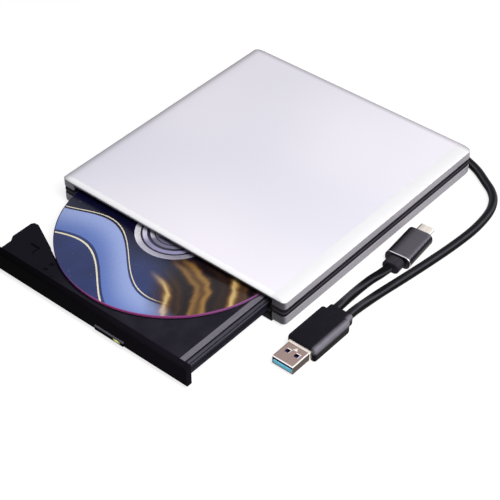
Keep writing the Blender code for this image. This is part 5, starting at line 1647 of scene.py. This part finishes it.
def block(low: Point, high: Point) -> bmesh.types.BMesh:
    """Makes a box.

    Args:
        low: Its lowest corner, in metres.
        high: Its highest corner, in metres.

    Returns:
        The box.
    """
    book = bmesh.new()
    bmesh.ops.create_cube(book, size=1.0)
    span = Vector(high) - Vector(low)
    bmesh.ops.scale(book, vec=span, verts=book.verts)
    bmesh.ops.translate(book, vec=Vector(low) + span / 2.0, verts=book.verts)
    return book


@dataclass
class Case:
    """The two shells, the band between them and what is fixed under them.

    Attributes:
        edges: Rounding of each node's edges, in metres.
        band: The band's finish.
        band_edge: Rounding of the band's edges, in metres.
    """

    edges: dict[str, float] = field(default_factory=lambda: {
        "top_cover": 0.00035, "bottom_cover": 0.0003, "cord_gland": 0.0003,
        "rubber_foot_1": 0.0003, "rubber_foot_2": 0.0003, "rubber_foot_3": 0.0003,
        "rubber_foot_4": 0.0003, "case_screw_1": 0.00012, "case_screw_2": 0.00012,
        "case_screw_3": 0.00012, "case_screw_4": 0.00012})
    band: Finish = BandPlastic("band_black_plastic", "1d1b20", 0.55, rubbed="29272d")
    band_edge: float = 0.0001

    def build(self) -> None:
        """Casts the case's nodes anew."""
        for node, width in self.edges.items():
            recast(node, width)
        recast("mid_frame", self.band_edge, finish=self.band)


@dataclass
class Tray:
    """The tray with its front panel and button.

    Attributes:
        edges: Rounding of each node's edges, in metres.
        button: The button's finish.
        button_edge: Rounding of the button's edges, in metres.
    """

    edges: dict[str, float] = field(default_factory=lambda: {
        "tray": 0.00018, "tray_under_cover": 0.0001, "bezel": 0.00015, "light_window": 0.0001})
    button: Finish = ButtonPlastic("rubbed_black_plastic", "08070a", 0.12)
    button_edge: float = 0.00015

    def build(self) -> None:
        """Casts the tray's nodes anew."""
        for node, width in self.edges.items():
            recast(node, width)
        recast("eject_button", self.button_edge, finish=self.button)


@dataclass
class Disc:
    """The disc, turned in one piece with its rings.

    Attributes:
        centre: Its middle, in metres.
        radius: Outer radius, in metres.
        hole: Radius of the hole, in metres.
        top: Height of the printed face, in metres.
        bottom: Height of the read face, in metres.
        chamfer: Width of the edges' chamfer, in metres.
        moat: Middle radius of the ring groove in the printed face, in metres.
        moat_depth: Its depth, in metres.
        stack_ring: Middle radius of the stacking ring on the read face, in metres.
        stack_drop: How far the stacking ring stands proud, in metres.
        foot: Half the width of groove and ring at the face, in parts of their depth.
        eased: How far in and down the printed edge's middle lies, in parts of the chamfer.
        steps: Faces around.
        seat_edges: Rounding of the edges of what the disc sits on, in metres.
    """

    centre: Point = DISC_CENTRE
    radius: float = 0.0600
    hole: float = 0.0075
    top: float = 0.0120
    bottom: float = DISC_BOTTOM
    chamfer: float = 0.00018
    moat: float = 0.0170
    moat_depth: float = 0.00015
    stack_ring: float = 0.0172
    stack_drop: float = 0.0002
    foot: float = 3.0
    eased: Span = (0.6, 0.3)
    steps: int = 192
    seat_edges: dict[str, float] = field(default_factory=lambda: {
        "disc_hub": 0.0002, "turntable": 0.00015, "turntable_pad": 0.00008})

    def profile(self) -> list[Span]:
        """Draws the section of the disc, from the hole's top edge round.

        Returns:
            Distance from the axis and height of each point, in metres.
        """
        c, g, d = self.chamfer, self.moat_depth, self.stack_drop
        inwards, down = self.eased
        return [
            (self.hole, self.top - c), (self.hole + c, self.top),
            (self.moat - self.foot * g, self.top), (self.moat - g, self.top - g),
            (self.moat + g, self.top - g), (self.moat + self.foot * g, self.top),
            (self.radius - 2 * c, self.top), (self.radius - inwards * c, self.top - down * c),
            (self.radius, self.top - 2 * c), (self.radius, self.bottom + c),
            (self.radius - c, self.bottom), (self.stack_ring + self.foot * d, self.bottom),
            (self.stack_ring + d, self.bottom - d), (self.stack_ring - d, self.bottom - d),
            (self.stack_ring - self.foot * d, self.bottom), (self.hole + c, self.bottom),
            (self.hole, self.bottom + c)]

    def build(self) -> None:
        """Turns the disc and recasts what it sits on."""
        book = lathe(self.profile(), self.centre, self.steps)
        for edge in book.edges:
            edge.smooth = edge.calc_face_angle(0.0) < TURNED_ANGLE
        piece = piece_from(book, "printed_disc")
        adopt(piece, FINISHES[Slot.DISC], Body.SPINDLE.value, ["disc"])
        for node, width in self.seat_edges.items():
            recast(node, width)


@dataclass
class Cord:
    """A cord that lies on the floor, along the points of its CAD solid.

    Attributes:
        name: The piece's name.
        node: The CAD node that it replaces.
        route: Its points, in metres from the case's back right corner.
        length: Its length, in metres. Not used.
        with_nodes: The pieces on it. Not used.
        exit: Where it leaves what holds it, in metres. Not used.
        diameter: Its diameter, in metres.
        corner: The case's back right corner on the floor, in metres.
        along: Faces along the curve between two points.
        around: Points added to a quarter of its section.
        handle: Length of a handle, in parts of the way between a point's neighbours.
    """

    name: str
    node: str
    route: Sequence[Point]
    length: float
    with_nodes: Sequence[str]
    exit: Point
    diameter: float = 0.0046
    corner: Point = (0.0725, 0.1048, 0.0)
    along: int = 10
    around: int = 7
    handle: float = 1.0 / 6.0

    def build(self) -> None:
        """Lays the cord as one smooth curve through its points."""
        points = [Vector(p) + Vector(self.corner) for p in self.route]
        curve = bpy.data.curves.new(self.name, "CURVE")
        curve.dimensions = "3D"
        curve.resolution_u = self.along
        curve.bevel_depth = self.diameter / 2.0
        curve.bevel_resolution = self.around
        curve.use_fill_caps = True
        spline = curve.splines.new("BEZIER")
        spline.bezier_points.add(len(points) - 1)
        last = len(points) - 1
        for i, (knot, point) in enumerate(zip(spline.bezier_points, points)):
            lean = (points[min(i + 1, last)] - points[max(i - 1, 0)]) * self.handle
            knot.co = point
            knot.handle_left_type = knot.handle_right_type = "FREE"
            knot.handle_left = point - lean
            knot.handle_right = point + lean
        piece = bpy.data.objects.new(self.name, curve)
        bpy.context.scene.collection.objects.link(piece)
        LOG.info("cord %s is %.4f m long", self.name, spline.calc_length())
        adopt(piece, FINISHES[Slot.CORD_JACKET], Body.CASE.value, [self.node])


MAIN_ROUTE: tuple[Point, ...] = (
    (-0.0239, 0.0012, 0.0062), (-0.0238, 0.0032, 0.0060), (-0.0227, 0.0059, 0.0051),
    (-0.0206, 0.0080, 0.0039), (-0.0180, 0.0092, 0.0029), (-0.0153, 0.0094, 0.0024),
    (-0.0125, 0.0089, 0.0024), (-0.0050, 0.0062, 0.0024), (0.0027, 0.0031, 0.0024),
    (0.0111, -0.0021, 0.0024), (0.0180, -0.0068, 0.0024), (0.0232, -0.0130, 0.0024),
    (0.0267, -0.0225, 0.0024), (0.0281, -0.0370, 0.0024), (0.0272, -0.0540, 0.0024),
    (0.0251, -0.0720, 0.0024), (0.0226, -0.0895, 0.0024), (0.0205, -0.1040, 0.0026),
    (0.0196, -0.1150, 0.0032), (0.0194, -0.1230, 0.0040), (0.0194, -0.1280, 0.0042))
SHORT_ROUTE: tuple[Point, ...] = (
    (0.0121, -0.1280, 0.0042), (0.0120, -0.1240, 0.0040), (0.0113, -0.1160, 0.0031),
    (0.0110, -0.1080, 0.0026), (0.0114, -0.1000, 0.0026), (0.0126, -0.0940, 0.0030),
    (0.01346, -0.0882, 0.0034))


@dataclass
class WidePlug:
    """The wide plug: grip, metal shell with its details, and the tongue with its contacts.

    Attributes:
        edges: Rounding of each node's edges, in metres.
        middle: Its middle line from side to side, in metres.
        shell_half: Half the shell's width, in metres.
        shell_low: Underside of the shell, in metres.
        shell_high: Top of the shell, in metres.
        root: Where the shell leaves the grip, in metres.
        lip: How far the collar at the root reaches along and stands proud, in metres.
        lip_wall: Thickness of the collar, in parts of what stands proud.
        steps: Faces across the rounded edges of nodes.
        trim_edge: Rounding of the tongue's and the collar's edges, in metres.
        fine_edge: Rounding of the stamping's and the contacts' edges, in metres.
        tongue_top: Top of the tongue, in metres.
        tongue_reach: How far the tongue's front comes out to the shell's mouth, in metres.
        stamping: Radius of the stamping, in metres.
        stamping_corners: How many corners it has.
        stamping_back: Its distance from the root, in metres.
        stamping_high: Its height, in metres.
        stamping_sunk: How deep it is let in, in metres.
        stamping_taper: Size of its upper face, in parts of its lower one.
        contact_count: How many contacts there are.
        contact_pitch: Distance between contacts, in metres.
        contact_half: Half the width of a contact, in metres.
        contact_ends: Distances of its far and near end from the root, in metres.
        contact_sunk: How deep a contact is let into the tongue, in metres.
        contact_proud: How far it stands proud, in metres.
    """

    edges: dict[str, float] = field(default_factory=lambda: {
        "plug_a_body": 0.0004, "plug_a_shell": 0.0001})
    middle: float = 0.0888
    shell_half: float = 0.0060
    shell_low: float = 0.00195
    shell_high: float = 0.00645
    root: float = -0.0542
    lip: Span = (0.0018, 0.0004)
    lip_wall: float = 1.6
    steps: int = 3
    trim_edge: float = 0.0001
    fine_edge: float = 0.00005
    tongue_top: float = 0.0044
    tongue_reach: float = 0.0003
    stamping: float = 0.0017
    stamping_corners: int = 3
    stamping_back: float = 0.0036
    stamping_high: float = 0.0002
    stamping_sunk: float = 0.00005
    stamping_taper: float = 0.55
    contact_count: int = 4
    contact_pitch: float = 0.0023
    contact_half: float = 0.0005
    contact_ends: Span = (0.0122, 0.0030)
    contact_sunk: float = 0.0001
    contact_proud: float = 0.00012

    def build(self) -> None:
        """Casts the plug's nodes anew and adds its details."""
        for node, width in self.edges.items():
            recast(node, width, self.steps)
        self.tongue()
        self.collar()
        self.dent()
        self.contacts()

    def tongue(self) -> None:
        """The tongue, its front drawn out flush with the shell's mouth."""
        book = merged("plug_a_tongue")
        front = min(v.co.y for v in book.verts)
        ends = [v for v in book.verts if v.co.y < front + self.trim_edge]
        bmesh.ops.translate(book, vec=(0.0, -self.tongue_reach, 0.0), verts=ends)
        piece = piece_from(book, "plug_a_tongue_dressed")
        round_edges(piece, self.trim_edge, self.steps)
        slot = Slot.TONGUE_BLUE
        adopt(piece, FINISHES[slot], Body.CASE.value, ["plug_a_tongue"])

    def collar(self) -> None:
        """The raised collar where the shell leaves the grip."""
        reach, proud = self.lip
        book = bmesh.new()
        bmesh.ops.create_grid(book, x_segments=1, y_segments=1, size=0.5)
        bmesh.ops.rotate(book, verts=book.verts, matrix=Matrix.Rotation(math.pi / 2, 3, "X"))
        wide = 2.0 * (self.shell_half + proud)
        tall = self.shell_high - self.shell_low + 2.0 * proud
        bmesh.ops.scale(book, vec=(wide, 1.0, tall), verts=book.verts)
        rim = bmesh.ops.inset_region(
            book, faces=list(book.faces), thickness=proud * self.lip_wall, use_boundary=True,
            use_even_offset=True)
        inside = [f for f in book.faces if f not in rim["faces"]]
        bmesh.ops.delete(book, geom=inside, context="FACES")
        grown = bmesh.ops.extrude_face_region(book, geom=list(book.faces), use_keep_orig=True)
        moved = [g for g in grown["geom"] if isinstance(g, bmesh.types.BMVert)]
        bmesh.ops.translate(book, vec=(0.0, -reach, 0.0), verts=moved)
        height = (self.shell_high + self.shell_low) / 2.0
        bmesh.ops.translate(book, vec=(self.middle, self.root, height), verts=book.verts)
        bmesh.ops.recalc_face_normals(book, faces=book.faces)
        piece = piece_from(book, "wide_plug_collar")
        round_edges(piece, self.trim_edge)
        adopt(piece, BRIGHT_PLATE, Body.CASE.value)

    def dent(self) -> None:
        """The tapered stamping near the shell's root, in the paler plate as a painted highlight."""
        book = bmesh.new()
        bmesh.ops.create_circle(
            book, cap_ends=True, radius=self.stamping, segments=self.stamping_corners)
        grown = bmesh.ops.extrude_face_region(book, geom=list(book.faces), use_keep_orig=True)
        tip = [g for g in grown["geom"] if isinstance(g, bmesh.types.BMVert)]
        bmesh.ops.scale(book, vec=(self.stamping_taper, self.stamping_taper, 1.0), verts=tip)
        bmesh.ops.translate(book, vec=(0.0, 0.0, self.stamping_high), verts=tip)
        place = (self.middle, self.root - self.stamping_back, self.shell_high - self.stamping_sunk)
        bmesh.ops.translate(book, vec=place, verts=book.verts)
        bmesh.ops.recalc_face_normals(book, faces=book.faces)
        piece = piece_from(book, "wide_plug_stamping")
        round_edges(piece, self.fine_edge)
        # The stamping is the shell's own metal; its paler plate is a painted highlight.
        adopt(piece, BRIGHT_PLATE, Body.CASE.value)

    def contacts(self) -> None:
        """The contacts along the tongue's upper face."""
        far, near = (self.root - end for end in self.contact_ends)
        low, high = self.tongue_top - self.contact_sunk, self.tongue_top + self.contact_proud
        for place in range(self.contact_count):
            x = self.middle + (place - (self.contact_count - 1) / 2.0) * self.contact_pitch
            book = block((x - self.contact_half, far, low), (x + self.contact_half, near, high))
            piece = piece_from(book, f"wide_plug_contact_{place + 1}")
            round_edges(piece, self.fine_edge)
            adopt(piece, CONTACT_PLATE, Body.CASE.value)


@dataclass
class SmallPlug:
    """The small plug: collar, sleeve with its bright ring, shell and tongue.

    Attributes:
        edges: Rounding of each node's edges, in metres.
        collar: The collar's finish, a paler copy of the grip's plastic as painted light on its top.
        collar_edge: Rounding of the collar's edges, in metres.
        shell_edge: Rounding of the shell's edges, in metres.
        steps: Faces across the rounded edges of nodes.
        origin: The plug's own origin, in metres.
        turn: Its turn about the upright axis, in radians.
        ring: Where the bright ring starts and ends along the plug, in metres.
        ring_proud: The ring's size, in parts of the sleeve's.
        ring_edge: Rounding of the ring's edges, in metres.
    """

    edges: dict[str, float] = field(default_factory=lambda: {
        "plug_c_body": 0.0004, "plug_c_tongue": 0.00008})
    # Paler than the grip: painted light on the collar's top.
    collar: Finish = MouldedPlastic(
        "small_plug_collar", "2b282e", 0.4, rubbed="4a464d", grain=2400.0, index=1.1)
    collar_edge: float = 0.0003
    shell_edge: float = 0.0002
    steps: int = 3
    origin: Point = SMALL_PLUG
    turn: float = SMALL_PLUG_TURN
    ring: Span = (0.0005, 0.0011)
    ring_proud: float = 1.015
    ring_edge: float = 0.0001

    def build(self) -> None:
        """Casts the plug's nodes anew and adds the ring."""
        for node, width in self.edges.items():
            recast(node, width, self.steps)
        recast("plug_c_collar", self.collar_edge, self.steps, self.collar)
        recast("plug_c_shell", self.shell_edge, self.steps, BRIGHT_PLATE)
        self.bright_ring()

    def bright_ring(self) -> None:
        """A slice of the sleeve, a little larger than it."""
        way = Vector((-math.sin(self.turn), math.cos(self.turn), 0.0))
        book = merged("plug_c_body")
        low, high = (Vector(self.origin) + way * d for d in self.ring)
        for point, normal in ((low, -way), (high, way)):
            bmesh.ops.bisect_plane(
                book, geom=list(book.verts) + list(book.edges) + list(book.faces),
                plane_co=point, plane_no=normal, clear_outer=True)
        rims = [e for e in book.edges if e.is_boundary]
        bmesh.ops.holes_fill(book, edges=rims)
        centre = sum((v.co for v in book.verts), Vector()) / len(book.verts)
        centre.z = min(v.co.z for v in book.verts)
        bmesh.ops.scale(book, vec=(self.ring_proud, 1.0, self.ring_proud), verts=book.verts,
                        space=Matrix.Translation(-centre))
        bmesh.ops.recalc_face_normals(book, faces=book.faces)
        piece = piece_from(book, "small_plug_ring")
        round_edges(piece, self.ring_edge)
        adopt(piece, RIM_PLATE, Body.CASE.value)


@dataclass
class Works:
    """The drive's inner works, which show only through the opening and from below.

    Attributes:
        edges: Rounding of each node's edges, in metres.
        rails: Rounding of the rails' and guides' edges, in metres.
        rail: The finish of rails and guides, darkened as painted shade in the opening.
    """

    edges: dict[str, float] = field(default_factory=lambda: {
        "chassis_pan": 0.0001, "chassis_lid": 0.0001, "drive_board": 0.00008,
        "bridge_board": 0.00008, "front_board": 0.00008, "drive_controller": 0.0001,
        "bridge_controller": 0.0001, "drive_plug": 0.00015, "bridge_socket": 0.00015,
        "eject_switch": 0.0001, "eject_latch": 0.0001, "traverse_frame": 0.0001,
        "spindle_motor": 0.00015, "stepper_motor": 0.00015, "guide_rod_inner": 0.0001,
        "guide_rod_outer": 0.0001, "lead_screw": 0.0001, "pickup_sled": 0.0001,
        "lens_holder": 0.0001, "objective_lens": 0.00008})
    rails: dict[str, float] = field(default_factory=lambda: {
        "rail_guide_left": 0.0001, "rail_guide_right": 0.0001, "slide_rail_left": 0.00012,
        "slide_rail_right": 0.00012})
    # Rails and guides are darkened to stand for the shade inside the opening.
    rail: Finish = BrushedMetal(
        "shade_darkened_steel", "39383d", 0.45, shade="2b2a2f", along=(1.0, 40.0, 1.0))

    def build(self) -> None:
        """Casts the works' nodes anew."""
        for node, width in self.edges.items():
            recast(node, width)
        for node, width in self.rails.items():
            recast(node, width, finish=self.rail)


@dataclass
class Studio:
    """Camera, lamps, backdrop and floor.

    Attributes:
        eye: The camera's place, in metres.
        right: The camera's own right.
        up: The camera's own up.
        back: From the target to the camera.
        focal: Focal length, in millimetres.
        sensor: Width of the sensor, in millimetres.
        clip: The nearest and the farthest that the camera sees, in metres.
        key_way: From the object to the main softbox.
        key_far: Its distance, in metres.
        key_size: Its width, in metres.
        key_power: Its power, in watts.
        rim_way: From the object to the small softbox behind it.
        rim_far: Its distance, in metres.
        rim_size: Its width, in metres.
        rim_power: Its power, in watts.
        fill: The world's light on matt surfaces.
        floor_half: Half the floor's width, in metres.
        floor_steps: Faces along the floor.
        floor_matt: The floor's grey where it lights the object.
        floor_seen: The floor's grey where it is seen.
        floor_glow: The floor's own light where it is seen.
    """

    eye: Point = (0.39325, -0.44039, 0.49468)
    right: Point = (0.76057, 0.64921, -0.00799)
    up: Point = (-0.42327, 0.50514, 0.75211)
    back: Point = (0.49232, -0.56865, 0.65898)
    focal: float = 109.95
    sensor: float = 36.0
    clip: Span = (0.01, 20.0)
    key_way: Point = (0.54, -0.22, 0.80)
    key_far: float = 0.95
    key_size: float = 0.5
    key_power: float = 9.5
    rim_way: Point = (0.66, 0.57, 0.49)
    rim_far: float = 0.8
    rim_size: float = 0.25
    rim_power: float = 1.3
    fill: float = 0.14
    floor_half: float = 2.5
    floor_steps: int = 8
    floor_matt: float = 0.35
    floor_seen: float = 0.28
    floor_glow: float = 0.80

    def build(self) -> None:
        """Sets the stage up."""
        bpy.context.scene.view_settings.view_transform = "Standard"
        self.camera()
        self.lamp("key_softbox", self.key_way, self.key_far, self.key_size, self.key_power)
        self.lamp("rim_softbox", self.rim_way, self.rim_far, self.rim_size, self.rim_power)
        self.sky()
        self.floor()

    def camera(self) -> None:
        """Stands the camera at the photograph's viewpoint."""
        lens = bpy.data.cameras.new("viewpoint")
        lens.sensor_width = self.sensor
        lens.lens = self.focal
        lens.clip_start, lens.clip_end = self.clip
        eye = bpy.data.objects.new("viewpoint", lens)
        axes = Matrix((self.right, self.up, self.back)).transposed().to_4x4()
        eye.matrix_world = Matrix.Translation(self.eye) @ axes
        bpy.context.scene.collection.objects.link(eye)
        bpy.context.scene.camera = eye

    def lamp(self, name: str, way: Point, far: float, size: float, power: float) -> None:
        """Hangs a softbox.

        Args:
            name: Its name.
            way: The way to it from the object.
            far: Its distance, in metres.
            size: Its width, in metres.
            power: Its power, in watts.
        """
        light = bpy.data.lights.new(name, "AREA")
        light.shape = "DISK"
        light.size = size
        light.energy = power
        box = bpy.data.objects.new(name, light)
        toward = Vector(way).normalized()
        turn = toward.to_track_quat("Z", "Y").to_matrix().to_4x4()
        box.matrix_world = Matrix.Translation(toward * far) @ turn
        bpy.context.scene.collection.objects.link(box)

    def seen(self, recipe: Recipe) -> Field:
        """Tells the rays that show the backdrop, straight, mirrored or through glass.

        Args:
            recipe: The tree.

        Returns:
            1 for such a ray, 0 for others.
        """
        path = recipe.node("ShaderNodeLightPath")
        camera = recipe.out(path, "Is Camera Ray")
        glossy = recipe.out(path, "Is Glossy Ray")
        through = recipe.out(path, "Is Transmission Ray")
        return camera.most(glossy).most(through)

    def sky(self) -> None:
        """A white backdrop that lights matt surfaces a little."""
        world = bpy.data.worlds.new("studio")
        bpy.context.scene.world = world
        world.use_nodes = True
        recipe = Recipe(world.node_tree)
        strength = self.seen(recipe) * (1.0 - self.fill) + self.fill
        light = recipe.node("ShaderNodeBackground", None, {"Color": WHITE, "Strength": strength})
        recipe.node("ShaderNodeOutputWorld", None, {"Surface": recipe.out(light)})

    def floor(self) -> None:
        """A pale floor that keeps the object's shadow."""
        book = bmesh.new()
        bmesh.ops.create_grid(
            book, x_segments=self.floor_steps, y_segments=self.floor_steps, size=self.floor_half)
        piece = piece_from(book, "studio_floor")
        made = bpy.data.materials.new("pale_floor")
        made.use_nodes = True
        recipe = Recipe(made.node_tree)
        right_tone, pale = (
            recipe.node("ShaderNodeBsdfDiffuse", None, {"Color": (grey, grey, grey, 1.0)})
            for grey in (self.floor_matt, self.floor_seen))
        glow = recipe.node(
            "ShaderNodeEmission", None, {"Color": WHITE, "Strength": self.floor_glow})
        both = recipe.node("ShaderNodeAddShader", None, {0: recipe.out(pale), 1: recipe.out(glow)})
        shown = recipe.node("ShaderNodeMixShader", None, {
            0: self.seen(recipe), 1: recipe.out(right_tone), 2: recipe.out(both)})
        recipe.node("ShaderNodeOutputMaterial", None, {"Surface": recipe.out(shown)})
        piece.data.materials.append(made)


def main() -> None:
    """Builds the stage, the case, the tray, the disc, the works, the plugs and the cords."""
    logging.basicConfig(level=logging.INFO, format="%(message)s")
    Studio().build()
    Case().build()
    Tray().build()
    Disc().build()
    Works().build()
    WidePlug().build()
    SmallPlug().build()
    Cord("main_cord_jacket", "main_cord", MAIN_ROUTE, length=0.176,
         with_nodes=(
             "cord_gland_dressed", "plug_a_body_dressed", "plug_a_shell_dressed",
             "plug_a_tongue_dressed", "wide_plug_collar", "wide_plug_stamping",
             "wide_plug_contact_1", "wide_plug_contact_2", "wide_plug_contact_3",
             "wide_plug_contact_4"),
         exit=(0.0486, 0.1060, 0.0062)).build()
    Cord("short_cord_jacket", "short_cord", SHORT_ROUTE, length=0.040,
         with_nodes=(
             "plug_c_body_dressed", "plug_c_collar_dressed", "plug_c_shell_dressed",
             "plug_c_tongue_dressed", "small_plug_ring"),
         exit=(0.0846, -0.0232, 0.0042)).build()


if __name__ == "__main__":
    main()
